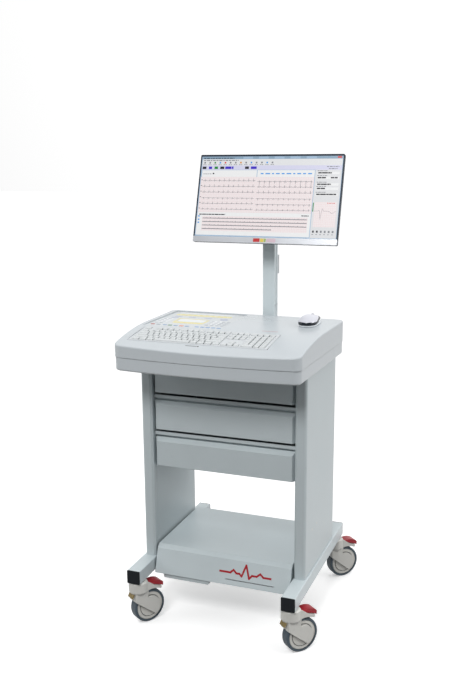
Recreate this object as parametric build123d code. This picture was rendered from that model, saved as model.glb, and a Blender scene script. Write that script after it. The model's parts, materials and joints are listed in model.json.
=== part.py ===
"""ECG machine on a trolley: rails on castors, base housing, drawer stack, desk console and monitor.

Cart axes: X to the user's right, -Y towards the user, Z up, floor at Z = 0, X = 0 on the cart's
centre line.  Every node is moved by FOOT_SHIFT on export, so that the origin is the centre of the
whole object's footprint on the floor.
"""
from build123d import *
import math
import os

# ---------------------------------------------------------------- driving dimensions (mm)
TUBE = 40.0
TUBE_WALL = 2.0
RAIL_X = 232.0
RAIL_LENGTH = 540.0
RAIL_Z = 136.0
TUBE_CORNER = 2.5
CAP_THICK = 3.0
CAP_PLUG = 12.0

WHEEL_R = 50.0
TRAIL = 30.0
PIVOT_INSET = 30.0
CASTOR_ANGLES = {"fl": 58.0, "fr": 50.0, "rl": 52.0, "rr": 45.0}

COLUMN_IN = 214.0
COLUMN_OUT = 247.0
COLUMN_FRONT = -157.0
COLUMN_REAR = 150.0
DESK_Z = 771.0
SHEET = 2.0

DRAWER_LINES = (680.0, 570.0, 460.0)
DRAWER_TRAVEL = 240.0

SEAM_Z = 808.0
DESK_TOP = 869.5
DESK_EDGE = 4.0
DESK_HALF_FRONT = 264.0
DESK_HALF_REAR = 275.0
DESK_CORNER_Y = -285.0
DESK_NOSE_Y = -302.0
DESK_REAR_Y = 137.0
CURVE_START_Y = -60.0
CURVE_R = 950.0

KEY_PITCH = 17.0
KEYBOARD_X = (-238.5, 165.5)
KEYBOARD_Y = (-248.5, -130.5)
PANEL_X = (-254.0, -20.0)
PANEL_Y = (-117.0, 124.0)

POST_X = 35.0
POST_Y = 154.0
POST_W = 38.0
POST_D = 32.0
POST_Z = (690.0, 1290.0)

MONITOR_X = 49.0
MONITOR_Y = 94.0
MONITOR_Z = 1218.0
MONITOR_W = 437.0
MONITOR_H = 261.0
MONITOR_TILT = 16.9

MOUSE_X = 200.0
MOUSE_Y = 28.0
MOUSE_L = 104.0
MOUSE_W = 60.0
MOUSE_H = 33.0

# Offset from the cart's centre line to the centre of the whole footprint.
FOOT_SHIFT = (11.27, 4.12)

NODES = {}


def add(name, *solids):
    """Keep one named node made of one or more separate solids."""
    shapes = []
    for item in solids:
        shapes.extend(item.solids())
    NODES[name] = shapes


def block(x, y, z):
    """Axis-aligned box between the limits given as pairs."""
    size = (x[1] - x[0], y[1] - y[0], z[1] - z[0])
    centre = ((x[0] + x[1]) / 2, (y[0] + y[1]) / 2, (z[0] + z[1]) / 2)
    return Pos(*centre) * Box(*size)


def rod(radius, start, axis, length):
    """Cylinder from a start point along an axis."""
    plane = Plane(origin=start, z_dir=axis)
    return extrude(plane * Circle(radius), length)


def prism_x(points, x):
    """Side profile of (y, z) points carried along X."""
    face = make_face(Polyline(*[(0, y, z) for y, z in points], close=True))
    return extrude(Pos(x[0], 0, 0) * face, x[1] - x[0], dir=(1, 0, 0))


# ---------------------------------------------------------------- rails and castors
RAIL_END = RAIL_LENGTH / 2
PIVOT_Y = RAIL_END - PIVOT_INSET
STEM_R = 6.0
STEM_CLEAR = 0.05
PIVOTS = {
    "fl": (-RAIL_X, -PIVOT_Y),
    "fr": (RAIL_X, -PIVOT_Y),
    "rl": (-RAIL_X, PIVOT_Y),
    "rr": (RAIL_X, PIVOT_Y),
}
STEM_HEAD_R = 9.0
CROSSBAR_Y = (-116.0, 84.0)
CROSSBAR = (30.0, 12.0)
CROSSBAR_Z = RAIL_Z + 27.0


def castor_place(key):
    """Frame of one castor: origin on the floor under the pivot, +X along the trail."""
    x, y = PIVOTS[key]
    return Location((x, y, 0), (0, 0, CASTOR_ANGLES[key]))


def make_rails():
    """Two square tubes, their end caps and the cross bars that join them."""
    half = TUBE / 2
    caps = []
    for name, x in (("left_rail", -RAIL_X), ("right_rail", RAIL_X)):
        length = (-RAIL_END + CAP_THICK, RAIL_END - CAP_THICK)
        outer = block((x - half, x + half), length, (RAIL_Z, RAIL_Z + TUBE))
        outer = fillet(outer.edges().filter_by(Axis.Y), TUBE_CORNER)
        inside = half - TUBE_WALL
        inner = block((x - inside, x + inside), length, (RAIL_Z + TUBE_WALL, RAIL_Z + TUBE - TUBE_WALL))
        tube = outer - inner
        for y in (-PIVOT_Y, PIVOT_Y):
            tube -= rod(STEM_R, (x, y, RAIL_Z - 1), (0, 0, 1), TUBE_WALL + 2)
        add(name, tube)
        for side in (-1, 1):
            face_y = side * RAIL_END
            inner_y = side * (RAIL_END - CAP_THICK)
            plug_y = side * (RAIL_END - CAP_THICK - CAP_PLUG)
            head = block((x - half, x + half), sorted((inner_y, face_y)), (RAIL_Z, RAIL_Z + TUBE))
            head = fillet(head.edges().filter_by(Axis.Y), TUBE_CORNER)
            rim = head.faces().sort_by(Axis.Y)[-1 if side > 0 else 0].edges()
            head = chamfer(rim, 0.8)
            grip = half - TUBE_WALL - 0.2
            middle = RAIL_Z + half
            plug = block((x - grip, x + grip), sorted((plug_y, inner_y)), (middle - grip, middle + grip))
            caps.append(head + plug)
    add("rail_end_caps", *caps)
    bars = []
    reach = RAIL_X - half
    for y in CROSSBAR_Y:
        bar = block((-reach, reach), (y, y + CROSSBAR[0]), (CROSSBAR_Z, CROSSBAR_Z + CROSSBAR[1]))
        bars.append(fillet(bar.edges().filter_by(Axis.X), 2))
    add("base_crossbars", *bars)


FORK_HALF = 20.5
FORK_SLOT = 15.5
CROWN_R = 28.0
CROWN_TOP = RAIL_Z - 1.5
HUB_R = 31.0
ARCH_R = WHEEL_R + 3.0
AXLE_R = 6.0
PEDAL_PIVOT = (20.0, 113.0)
PEDAL_HALF = 15.0
PEDAL_SLOT = 16.0
LUG_HALF = 8.0


def fork_outline():
    """Side outline of a fork arm: neck, round hub cover with a slanting lower edge, fender and cheek."""
    neck = Polyline((-18.5, 128), (-18.5, 74.5), (44.4, 22.6))
    hub = ThreePointArc((44.4, 22.6), (TRAIL + HUB_R, WHEEL_R), (21, 79.7))
    throat = Polyline((21, 79.7), (21, 86), (22.5, 103.6))
    fender = ThreePointArc((22.5, 103.6), (44, 103.6), (64, 97))
    cheek = Polyline((64, 97), (71, 99), (71, 103.5), (48, 110.5), (25, 128), (-18.5, 128))
    return make_face(neck + hub + throat + fender + cheek)


def make_fork():
    """Plastic fork: round crown, two broad arms, arch over the tyre, axle between the arms."""
    body = extrude(Plane.XZ * fork_outline(), FORK_HALF, both=True)
    ends = [e for e in body.edges().filter_by(Axis.Z) if e.center().X > 70]
    body = fillet(ends, 9)
    rise = [(0, 90), (19, 90), (CROWN_R, 104), (CROWN_R, 131), (25, CROWN_TOP), (0, CROWN_TOP)]
    crown = make_face(Polyline(*rise, close=True))
    body += revolve(Plane.XZ * crown, Axis.Z, 360)
    body -= rod(ARCH_R, (TRAIL, FORK_SLOT, WHEEL_R), (0, -1, 0), 2 * FORK_SLOT)
    ramp = [(22, 118.5), (30, 116.5), (52, 109), (80, 99), (80, 140), (22, 140)]
    well = make_face(Polyline(*ramp, close=True))
    body -= extrude(Plane.XZ * well, PEDAL_SLOT, both=True)
    body -= block((14, 32), (-LUG_HALF - 0.3, LUG_HALF + 0.3), (105, 127))
    body -= rod(STEM_R + STEM_CLEAR, (0, 0, 103), (0, 0, 1), 40)
    body -= rod(STEM_HEAD_R + 0.1, (0, 0, 103), (0, 0, 1), 8)
    axle = rod(AXLE_R, (TRAIL, FORK_SLOT + 1, WHEEL_R), (0, -1, 0), 2 * FORK_SLOT + 2)
    px, pz = PEDAL_PIVOT
    pin = rod(1.95, (px, LUG_HALF + 1.5, pz), (0, -1, 0), 2 * LUG_HALF + 3)
    return body + axle + pin


def make_wheel():
    """Plastic wheel with a groove ring in each face, and a bore for the axle."""
    half = 13.0
    bore = AXLE_R + STEM_CLEAR
    profile = Polyline(
        (bore, -half - 1.5),
        (12, -half - 1.5),
        (14, -half),
        (31, -half),
        (31.6, -half + 2.4),
        (33.2, -half + 2.4),
        (34, -half),
        (41, -half),
        (43, -half + 2),
        (43, half - 2),
        (41, half),
        (34, half),
        (33.2, half - 2.4),
        (31.6, half - 2.4),
        (31, half),
        (14, half),
        (12, half + 1.5),
        (bore, half + 1.5),
        close=True,
    )
    ring = revolve(make_face(Plane.XY * profile), Axis.Y, 360)
    return Pos(TRAIL, 0, WHEEL_R) * ring


def make_tyre():
    """Soft tread ring with rounded shoulders, moulded round the rim."""
    half = 14.0
    inner = 43.0
    shoulder = 3.5
    section = Pos((inner + WHEEL_R) / 2, 0) * Rectangle(WHEEL_R - inner, 2 * half)
    outer = section.vertices().sort_by(Axis.X)[-2:]
    section = fillet(outer, shoulder)
    return Pos(TRAIL, 0, WHEEL_R) * revolve(section, Axis.Y, 360)


def make_pedal():
    """Curved brake pedal over the fender, with a hinge lug between the fork's cheeks."""
    outline = make_face(
        Spline((28, 121.5), (44, 124), (62, 121.5), (75, 114), (79.5, 105))
        + Line((79.5, 105), (77, 100.5))
        + Spline((77, 100.5), (62, 108.4), (44, 114), (28, 118.4))
        + Line((28, 118.4), (28, 121.5))
    )
    plate = extrude(Plane.XZ * outline, PEDAL_HALF, both=True)
    tip = rod(30, (50, 0, 90), (0, 0, 1), 40) + block((0, 50), (-PEDAL_HALF - 1, PEDAL_HALF + 1), (90, 130))
    plate = plate & tip
    px, pz = PEDAL_PIVOT
    lug = rod(4.5, (px, LUG_HALF, pz), (0, -1, 0), 2 * LUG_HALF)
    lug += block((px - 2, px + 11), (-LUG_HALF, LUG_HALF), (pz + 1, 119.5))
    lug -= rod(2.0, (px, LUG_HALF + 2, pz), (0, -1, 0), 2 * LUG_HALF + 4)
    return plate + lug


def make_castors():
    """The four castors at their resting swivel angles."""
    stems = []
    for key in PIVOTS:
        place = castor_place(key)
        stem = rod(STEM_R, (0, 0, 106), (0, 0, 1), 54)
        nut = rod(12, (0, 0, RAIL_Z + TUBE_WALL), (0, 0, 1), 9)
        washer = rod(11, (0, 0, CROWN_TOP + 0.3), (0, 0, 1), RAIL_Z - CROWN_TOP - 0.3)
        head = rod(STEM_HEAD_R, (0, 0, 106), (0, 0, 1), 4)
        stems.append(place * (stem + head + nut + washer))
        add(f"castor_{key}_fork", place * make_fork())
        add(f"castor_{key}_wheel", place * make_wheel())
        add(f"castor_{key}_tyre", place * make_tyre())
        add(f"castor_{key}_pedal", place * make_pedal())
    add("castor_stems", *stems)


# ---------------------------------------------------------------- base housing
HOUSING_X = 208.0
HOUSING_TOP = 213.0
HOUSING_BOTTOM = 135.0
HOUSING_REAR = 150.0
BEND_Y = -154.0
TOE_Y = -179.0
BEND_CHAMFER = 12.0
SLOT_X = (14.0, 161.0)
SLOT_Z = 149.5
BRACKET_X = (-180.0, -36.0)
BRACKET_DROP = 13.0
BRACKET_REAR = 120.0


def housing_profile(inset):
    """Side outline of the housing, moved inwards by the sheet thickness."""
    top = HOUSING_TOP - inset
    low = HOUSING_BOTTOM
    drop = BEND_CHAMFER * 0.8
    bend = BEND_Y + inset * 0.6
    return [
        (HOUSING_REAR - inset, low),
        (HOUSING_REAR - inset, top),
        (bend + BEND_CHAMFER, top),
        (bend - drop * 0.1, top - drop),
        (TOE_Y + inset, low),
    ]


def make_base_housing():
    """Bent cover, floor pan with its bracket, computer, transformer and power inlet."""
    outer = prism_x(housing_profile(0), (-HOUSING_X, HOUSING_X))
    ends = [e for e in outer.edges() if abs(e.center().X) > HOUSING_X - 1 and e.center().Y < BEND_Y + 4]
    ends = [e for e in ends if e.center().Z > HOUSING_BOTTOM + 5]
    outer = fillet(ends, 3)
    inner = prism_x(housing_profile(SHEET), (-HOUSING_X + SHEET, HOUSING_X - SHEET))
    inner += block((-HOUSING_X + SHEET, HOUSING_X - SHEET), (TOE_Y + 4, HOUSING_REAR + 1), (120, 137))
    cover = outer - inner
    cover -= block((-HOUSING_X + 20, HOUSING_X - 20), (HOUSING_REAR - 3, HOUSING_REAR + 1), (130, 205))
    for y in CROSSBAR_Y:
        gap = 0.6
        cover -= block(
            (-HOUSING_X - 1, HOUSING_X + 1),
            (y - gap, y + CROSSBAR[0] + gap),
            (HOUSING_BOTTOM - 1, CROSSBAR_Z + CROSSBAR[1] + gap),
        )
    cover -= block(SLOT_X, (TOE_Y - 5, BEND_Y), (SLOT_Z - 1.3, SLOT_Z + 1.3))
    add("housing_cover", cover)

    wall = HOUSING_X - SHEET - 0.5
    pan = block((-wall, wall), (TOE_Y + 6, HOUSING_REAR - 0.5), (HOUSING_BOTTOM, HOUSING_BOTTOM + SHEET))
    back = block((-wall, wall), (HOUSING_REAR - 5, HOUSING_REAR - 3.2), (HOUSING_BOTTOM, HOUSING_TOP - 8))
    bracket = block(BRACKET_X, (TOE_Y + 4, BRACKET_REAR), (HOUSING_BOTTOM - BRACKET_DROP, HOUSING_BOTTOM))
    bracket = chamfer(bracket.edges().filter_by(Axis.Y).group_by(Axis.Z)[0], 3)
    floor = pan + back + bracket
    floor -= block((-176, -134), (HOUSING_REAR - 8, HOUSING_REAR), (160, 192))
    for x in range(-60, 181, 12):
        floor -= block((x, x + 5), (HOUSING_REAR - 8, HOUSING_REAR), (150, 192))
    add("housing_floor", floor)

    bottom = HOUSING_BOTTOM + SHEET
    case = block((-196, 20), (-80, 78), (bottom, 206))
    case = fillet(case.edges().filter_by(Axis.Z), 3)
    case -= block((-194, 18), (-78, 76), (bottom - 1, 204))
    drive = block((12, 163), (-165, -84), (bottom, bottom + 24))
    drive -= block((14, 161), (-163, -86), (bottom - 1, bottom + 22))
    drive -= block(SLOT_X, (-166, -160), (SLOT_Z - 1, SLOT_Z + 1))
    add("computer_unit", case, drive)
    core = block((60, 150), (-40, 40), (bottom, 195)) - block((80, 130), (-41, 41), (bottom + 18, 177))
    winding = block((81, 129), (-52, 52), (bottom + 19, 176))
    winding = fillet(winding.edges().filter_by(Axis.Y), 6)
    add("isolation_transformer", core, winding)
    inlet = block((-175.5, -134.5), (HOUSING_REAR - 30, HOUSING_REAR - 5), (161, 191))
    lip = block((-179, -131), (HOUSING_REAR - 3.2, HOUSING_REAR + 0.5), (156, 196))
    inlet = inlet + lip + block((-175.5, -134.5), (HOUSING_REAR - 6, HOUSING_REAR - 2), (161, 191))
    inlet -= block((-169, -141), (HOUSING_REAR - 20, HOUSING_REAR + 1), (166, 186))
    for x, z in ((-155, 180), (-162, 172), (-148, 172)):
        inlet += block((x - 1, x + 1), (HOUSING_REAR - 21, HOUSING_REAR - 6), (z - 2, z + 2))
    add("power_inlet", inlet)


# ---------------------------------------------------------------- columns and cabinet
PROFILE_DEPTH = 21.0
PANEL_THICK = 1.6
BACK_Y = 146.0
CROSS_Y = (-112.0, -92.0)
RAIL_TOP = RAIL_Z + TUBE
VENTS = 7
VENT_Z = 500.0
VENT_PITCH = 12.0
VENT_TALL = 4.0
VENT_HALF = 90.0
SCREW_YS = (-85.0, -36.0)
SCREW_Z = 300.0
SCREW_HEAD_R = 4.0
SCREW_HEAD_H = 1.1
SHANK_R = 2.45
SHANK_LENGTH = 10.0


def column_section():
    """Plan section of the right column: side sheet with a closed front profile and rear return."""
    out = COLUMN_OUT
    front = COLUMN_FRONT
    outer = make_face(
        Polyline(
            (out, COLUMN_REAR),
            (out, front),
            (COLUMN_IN + 6, front),
            (COLUMN_IN, front + 6),
            (COLUMN_IN, front + PROFILE_DEPTH),
            (out - SHEET, front + PROFILE_DEPTH),
            (out - SHEET, COLUMN_REAR - SHEET),
            (COLUMN_IN + 4, COLUMN_REAR - SHEET),
            (COLUMN_IN + 4, COLUMN_REAR),
            close=True,
        )
    )
    corner = [v for v in outer.vertices() if v.X > out - 1 and v.Y < front + 1]
    outer = fillet(corner, 9)
    soft = [v for v in outer.vertices() if v.X < COLUMN_IN + 7 and v.Y < front + 7]
    outer = fillet(soft, 2)
    hollow = make_face(
        Polyline(
            (out - SHEET - 4, front + SHEET + 1),
            (COLUMN_IN + 8, front + SHEET + 1),
            (COLUMN_IN + SHEET, front + 9),
            (COLUMN_IN + SHEET, front + PROFILE_DEPTH - SHEET),
            (out - SHEET - 1, front + PROFILE_DEPTH - SHEET),
            (out - SHEET - 1, front + 8),
            close=True,
        )
    )
    return outer - hollow


def make_columns():
    """Side columns, inner panels, their screws, rear cover and cross pieces."""
    section = column_section()
    right = Pos(0, 0, RAIL_TOP) * extrude(section, DESK_Z - RAIL_TOP)
    for y in SCREW_YS:
        right -= rod(SHANK_R + 0.05, (COLUMN_OUT - 4, y, SCREW_Z), (1, 0, 0), 8)
        right -= rod(SCREW_HEAD_R + 0.1, (COLUMN_OUT - SCREW_HEAD_H - 0.05, y, SCREW_Z), (1, 0, 0), 4)
    left = mirror(right, about=Plane.YZ)
    add("right_column", right)
    add("left_column", left)
    panels = []
    screws = []
    start = COLUMN_FRONT + PROFILE_DEPTH + 1.2
    for side in (-1, 1):
        xs = sorted((side * COLUMN_IN, side * (COLUMN_IN + PANEL_THICK)))
        panels.append(block(xs, (start, COLUMN_REAR - 6), (RAIL_TOP, DESK_Z)))
        for y in SCREW_YS:
            face = (side * (COLUMN_OUT - 0.05), y, SCREW_Z)
            head = rod(SCREW_HEAD_R, face, (-side, 0, 0), SCREW_HEAD_H - 0.05)
            head = fillet(head.edges().sort_by(Axis.X)[-1 if side > 0 else 0], 0.5)
            screws.append(head + rod(SHANK_R, face, (-side, 0, 0), SHANK_LENGTH))
    add("inner_panels", *panels)
    add("panel_screws", *screws)
    back = block((-COLUMN_IN, COLUMN_IN), (BACK_Y - 1.5, BACK_Y), (DRAWER_LINES[-1] - 4, DESK_Z))
    for step in range(VENTS):
        z = VENT_Z + step * VENT_PITCH
        back -= block((-VENT_HALF, VENT_HALF), (BACK_Y - 3, BACK_Y + 1), (z, z + VENT_TALL))
    add("cabinet_back", back)
    cross = []
    for line in DRAWER_LINES:
        cross.append(block((-COLUMN_IN, COLUMN_IN), CROSS_Y, (line - 10, line - 2)))
    add("cabinet_crosspieces", *cross)


# ---------------------------------------------------------------- drawers
FRONT_Y = -149.5
FRONT_HALF = 211.5
GRIP_DEPTH = 22.0
DRAWER_GAP = 8.6
LIP_SETBACK = 8.0
LIP_HEIGHT = 9.4
LIP_THICK = 3.0
GRIP_OPENING = 7.2
BEVEL_RISE = 10.8
BEVEL_DEPTH = 12.0
END_BEVEL = 7.0
FRONT_DEPTH = 24.0
TRAY_HALF = 196.0
TRAY_FRONT = FRONT_Y + FRONT_DEPTH
TRAY_REAR = 128.0
TRAY_LIFT = 6.0
TRAY_TALL = 72.0
TRAY_WALL = 1.2
RUNNER_H = 20.0
GUIDE_H = 28.0
RUNNER_WALL = 1.5


def drawer_heights():
    """Bottom line and total front height of each drawer, top drawer first."""
    tall = DRAWER_LINES[0] - DRAWER_LINES[1] - DRAWER_GAP
    tops = (DESK_Z - DRAWER_LINES[0] - 4, tall, tall)
    return list(zip(DRAWER_LINES, tops))


def make_drawer_front(low, top):
    """Pillow front with bevelled top and ends, a grip groove and a thin lip above it."""
    lip_low = top - LIP_HEIGHT
    groove = lip_low - GRIP_OPENING
    back = FRONT_Y + FRONT_DEPTH
    bevel_y = FRONT_Y + BEVEL_DEPTH
    lip_y = FRONT_Y + LIP_SETBACK
    profile = [
        (FRONT_Y, low),
        (FRONT_Y, groove - BEVEL_RISE),
        (bevel_y, groove),
        (FRONT_Y + GRIP_DEPTH - 2, groove),
        (FRONT_Y + GRIP_DEPTH - 2, lip_low),
        (lip_y, lip_low),
        (lip_y, top),
        (lip_y + LIP_THICK, top),
        (lip_y + LIP_THICK, lip_low + SHEET),
        (back, lip_low + SHEET),
        (back, low),
    ]
    front = prism_x(profile, (-FRONT_HALF, FRONT_HALF))
    for side in (-1, 1):
        end = side * FRONT_HALF
        inner = end - side * END_BEVEL
        corner = make_face(
            Polyline(
                (end + side, FRONT_Y - 1),
                (inner, FRONT_Y - 1),
                (inner, FRONT_Y),
                (end, bevel_y),
                (end + side, bevel_y),
                close=True,
            )
        )
        front -= extrude(Pos(0, 0, low - 1) * corner, groove - low + 1, dir=(0, 0, 1))
    rim = [e for e in front.edges() if abs(e.center().Y - FRONT_Y) < 0.2]
    front = fillet(rim, 1.2)
    front -= block(
        (-FRONT_HALF + END_BEVEL + SHEET, FRONT_HALF - END_BEVEL - SHEET),
        (FRONT_Y + SHEET, back + 1),
        (low + SHEET, groove - BEVEL_RISE - SHEET),
    )
    return front + block((-TRAY_HALF, TRAY_HALF), (TRAY_FRONT - 2, TRAY_FRONT), (low, lip_low))


def make_drawers():
    """Fronts, trays with runners, and guide channels."""
    guides = []
    for index, (low, height) in enumerate(drawer_heights(), start=1):
        top = low + height
        add(f"drawer_{index}_front", make_drawer_front(low, top))

        floor = low + TRAY_LIFT
        rim_z = min(floor + TRAY_TALL, top - 24)
        outer = block((-TRAY_HALF, TRAY_HALF), (TRAY_FRONT, TRAY_REAR), (floor, rim_z))
        inner = block(
            (-TRAY_HALF + TRAY_WALL, TRAY_HALF - TRAY_WALL),
            (TRAY_FRONT + TRAY_WALL, TRAY_REAR - TRAY_WALL),
            (floor + TRAY_WALL, rim_z + 1),
        )
        tray = outer - inner
        middle = floor + 26
        runners = []
        for side in (-1, 1):
            xs = sorted((side * TRAY_HALF, side * (TRAY_HALF + 10)))
            runner = block(xs, (TRAY_FRONT + 4, TRAY_REAR), (middle - RUNNER_H / 2, middle + RUNNER_H / 2))
            runner -= block(
                sorted((side * (TRAY_HALF + RUNNER_WALL), side * (TRAY_HALF + 11))),
                (TRAY_FRONT, TRAY_REAR + 1),
                (middle - RUNNER_H / 2 + RUNNER_WALL, middle + RUNNER_H / 2 - RUNNER_WALL),
            )
            runners.append(runner)
            outer_x = side * COLUMN_IN
            inner_x = side * (TRAY_HALF + 4)
            channel = block(
                sorted((inner_x, outer_x)),
                (TRAY_FRONT + 4, TRAY_REAR + 8),
                (middle - GUIDE_H / 2, middle + GUIDE_H / 2),
            )
            channel -= block(
                sorted((inner_x - side, side * (COLUMN_IN - RUNNER_WALL))),
                (TRAY_FRONT, TRAY_REAR + 12),
                (middle - GUIDE_H / 2 + RUNNER_WALL, middle + GUIDE_H / 2 - RUNNER_WALL),
            )
            guides.append(channel)
        add(f"drawer_{index}_tray", tray, *runners)
    add("drawer_guides", *guides)


# ---------------------------------------------------------------- desk console
def desk_z(y):
    """Height of the desk's top surface at a distance Y."""
    run = min(y - CURVE_START_Y, 0)
    return DESK_TOP - CURVE_R + math.sqrt(CURVE_R**2 - run**2)


def desk_tilt(y):
    """Downward slope of the desk's top towards the user, in degrees."""
    return math.degrees(math.asin(max(CURVE_START_Y - y, 0) / CURVE_R))


def desk_plan(inset, corner, rear_corner):
    """Plan outline: bulging front edge, slightly tapered sides, rounded corners."""
    half_f = DESK_HALF_FRONT - inset
    half_r = DESK_HALF_REAR - inset
    front = DESK_CORNER_Y + inset
    nose = DESK_NOSE_Y + inset
    rear = DESK_REAR_Y - inset
    edge = ThreePointArc((-half_f, front), (0, nose), (half_f, front))
    rest = Polyline((half_f, front), (half_r, rear), (-half_r, rear), (-half_f, front))
    face = make_face(edge + rest)
    fronts = face.vertices().sort_by(Axis.Y)[:2]
    face = fillet(fronts, corner)
    rears = face.vertices().sort_by(Axis.Y)[-2:]
    return fillet(rears, rear_corner)


def under_curve(drop):
    """Everything below the desk's top surface, lowered by a drop."""
    wide = 320
    end_y = -340
    mid_y = (end_y + CURVE_START_Y) / 2
    top = DESK_TOP - drop
    arc = ThreePointArc(
        (0, CURVE_START_Y, top),
        (0, mid_y, desk_z(mid_y) - drop),
        (0, end_y, desk_z(end_y) - drop),
    )
    rest = Polyline(
        (0, end_y, desk_z(end_y) - drop),
        (0, end_y, SEAM_Z - 60),
        (0, 240, SEAM_Z - 60),
        (0, 240, top),
        (0, CURVE_START_Y, top),
    )
    return extrude(Pos(-wide, 0, 0) * make_face(arc + rest), 2 * wide, dir=(1, 0, 0))


KEY_MID_Y = (KEYBOARD_Y[0] + KEYBOARD_Y[1]) / 2
KEY_TILT = desk_tilt(KEY_MID_Y)
KEY_MID_X = (KEYBOARD_X[0] + KEYBOARD_X[1]) / 2
KEY_PLACE = Location((KEY_MID_X, KEY_MID_Y, desk_z(KEY_MID_Y) - 0.5), (KEY_TILT, 0, 0))
KEY_FIELD = (KEYBOARD_X[1] - KEYBOARD_X[0], KEYBOARD_Y[1] - KEYBOARD_Y[0])
KEY_FLOOR = -4.2
KEY_PLATE = 2.0
PANEL_MID = ((PANEL_X[0] + PANEL_X[1]) / 2, (PANEL_Y[0] + PANEL_Y[1]) / 2)
PANEL_FIELD = (PANEL_X[1] - PANEL_X[0], PANEL_Y[1] - PANEL_Y[0])
PANEL_REAR_DEPTH = 4.0
PANEL_FRONT_DEPTH = 2.5


def panel_place():
    """Frame on the sunken floor of the control panel."""
    rear_z = desk_z(PANEL_Y[1]) - PANEL_REAR_DEPTH
    front_z = desk_z(PANEL_Y[0]) - PANEL_FRONT_DEPTH
    slope = math.degrees(math.atan2(rear_z - front_z, PANEL_FIELD[1]))
    return Location((*PANEL_MID, (rear_z + front_z) / 2), (slope, 0, 0))


def make_desk():
    """Lower and upper shell, sunken control panel, keyboard base and electronics board."""
    wall = 3.5
    lower = extrude(Pos(0, 0, DESK_Z) * desk_plan(1.2, 24, 20), SEAM_Z - 0.6 - DESK_Z)
    bottom = lower.faces().sort_by(Axis.Z)[0].edges()
    lower = fillet(bottom, 6)
    lower -= extrude(Pos(0, 0, DESK_Z + wall) * desk_plan(wall + 4, 20, 16), 60)
    lower -= block((POST_X - 60, POST_X + 60), (DESK_REAR_Y - 20, DESK_REAR_Y + 5), (SEAM_Z - 12, SEAM_Z))
    add("desk_lower_shell", lower)

    upper = extrude(Pos(0, 0, SEAM_Z + 0.6) * desk_plan(0, 24, 20), DESK_TOP + 10 - SEAM_Z) & under_curve(0)
    rim = [e for e in upper.edges() if e.center().Z > SEAM_Z + 8 and not (e % 0.5).Z ** 2 > 0.9]
    rim = [e for e in rim if not (abs(e.center().Y - CURVE_START_Y) < 1 and e.length > 400)]
    upper = fillet(rim, DESK_EDGE)
    cavity = extrude(Pos(0, 0, SEAM_Z - 2) * desk_plan(wall + 2, 20, 16), 100) & under_curve(wall + 0.8)
    upper -= cavity
    upper -= KEY_PLACE * Box(KEY_FIELD[0], KEY_FIELD[1], 40)
    plate = Pos(0, 0, KEY_FLOOR - KEY_PLATE / 2) * Box(KEY_FIELD[0] + 12, KEY_FIELD[1] + 12, KEY_PLATE)
    upper -= KEY_PLACE * plate
    spot = panel_place()
    ledge = spot * Pos(0, 0, 20) * Box(PANEL_FIELD[0], PANEL_FIELD[1], 40)
    shelf = spot * Pos(0, 0, -2) * Box(PANEL_FIELD[0] + 4, PANEL_FIELD[1] + 4, 4)
    upper = (upper + (shelf & under_curve(0.5))) - ledge
    upper -= KEY_PLACE * plate
    upper -= KEY_PLACE * Box(KEY_FIELD[0], KEY_FIELD[1], 40)
    membrane = spot * Pos(0, 0, 0.5) * Box(PANEL_FIELD[0] - 1, PANEL_FIELD[1] - 1, 1.0)
    add("control_panel", membrane)
    add("desk_upper_shell", upper)
    holes = [Pos(x, y, KEY_FLOOR) * Cylinder(STEM_HOLE_R, 3 * KEY_PLATE) for _, x, y, _ in key_spots()]
    add("keyboard_base", KEY_PLACE * (plate - holes))
    board = block((-180, 60), (-90, 90), (DESK_Z + 14, DESK_Z + 15.6))
    parts = [
        block((-150, -60), (-60, 20), (DESK_Z + 15.6, DESK_Z + 26)),
        block((-30, 30), (0, 60), (DESK_Z + 15.6, DESK_Z + 22)),
    ]
    feet = []
    for x in (-170, 50):
        for y in (-80, 80):
            feet.append(rod(4, (x, y, DESK_Z + wall), (0, 0, 1), 14 - wall))
    for piece in parts + feet:
        board += piece
    add("ecg_board", board)


# ---------------------------------------------------------------- keyboard
KEY_ROWS = 6
KEY_GAP = 1.6
KEY_TALL = 3.7
KEY_LIFT = 2.3
KEY_STEM_R = 2.2
STEM_HOLE_R = 2.6
ROW_WIDTHS = [
    [1, -1, 1, 1, 1, 1, -0.5, 1, 1, 1, 1, -0.5, 1, 1, 1, 1],
    [1] * 13 + [2],
    [1.5] + [1] * 12 + [1.5],
    [1.75] + [1] * 11 + [2.25],
    [2.25] + [1] * 10 + [2.75],
    [1.25, 1.25, 1.25, 6.25, 1.25, 1.25, 1.25, 1.25],
]
NAV_WIDTHS = [[1, 1, 1], [1, 1, 1], [1, 1, 1], [], [-1, 1, -1], [1, 1, 1]]
PAD_WIDTHS = [[1, 1, 1, 1], [1, 1, 1, 1], [1, 1, 1, 1], [1, 1, 1, 1], [1, 1, 1, 1], [2, 1, 1]]
BLOCK_GAP = 5.0
ROW_BREAK = 4.0


def key_spots():
    """Row, centre and width in key units of every key, in the keyboard's own plane."""
    field = 22 * KEY_PITCH + 2 * BLOCK_GAP
    depth = KEY_ROWS * KEY_PITCH + ROW_BREAK
    for row in range(KEY_ROWS):
        y = depth / 2 - KEY_PITCH / 2 - row * KEY_PITCH - (ROW_BREAK if row else 0)
        left = -field / 2
        for widths, span in ((ROW_WIDTHS[row], 15), (NAV_WIDTHS[row], 3), (PAD_WIDTHS[row], 4)):
            cursor = left
            for width in widths:
                size = abs(width)
                if width > 0:
                    yield row, cursor + size * KEY_PITCH / 2, y, size
                cursor += size * KEY_PITCH
            left += span * KEY_PITCH + BLOCK_GAP


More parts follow.
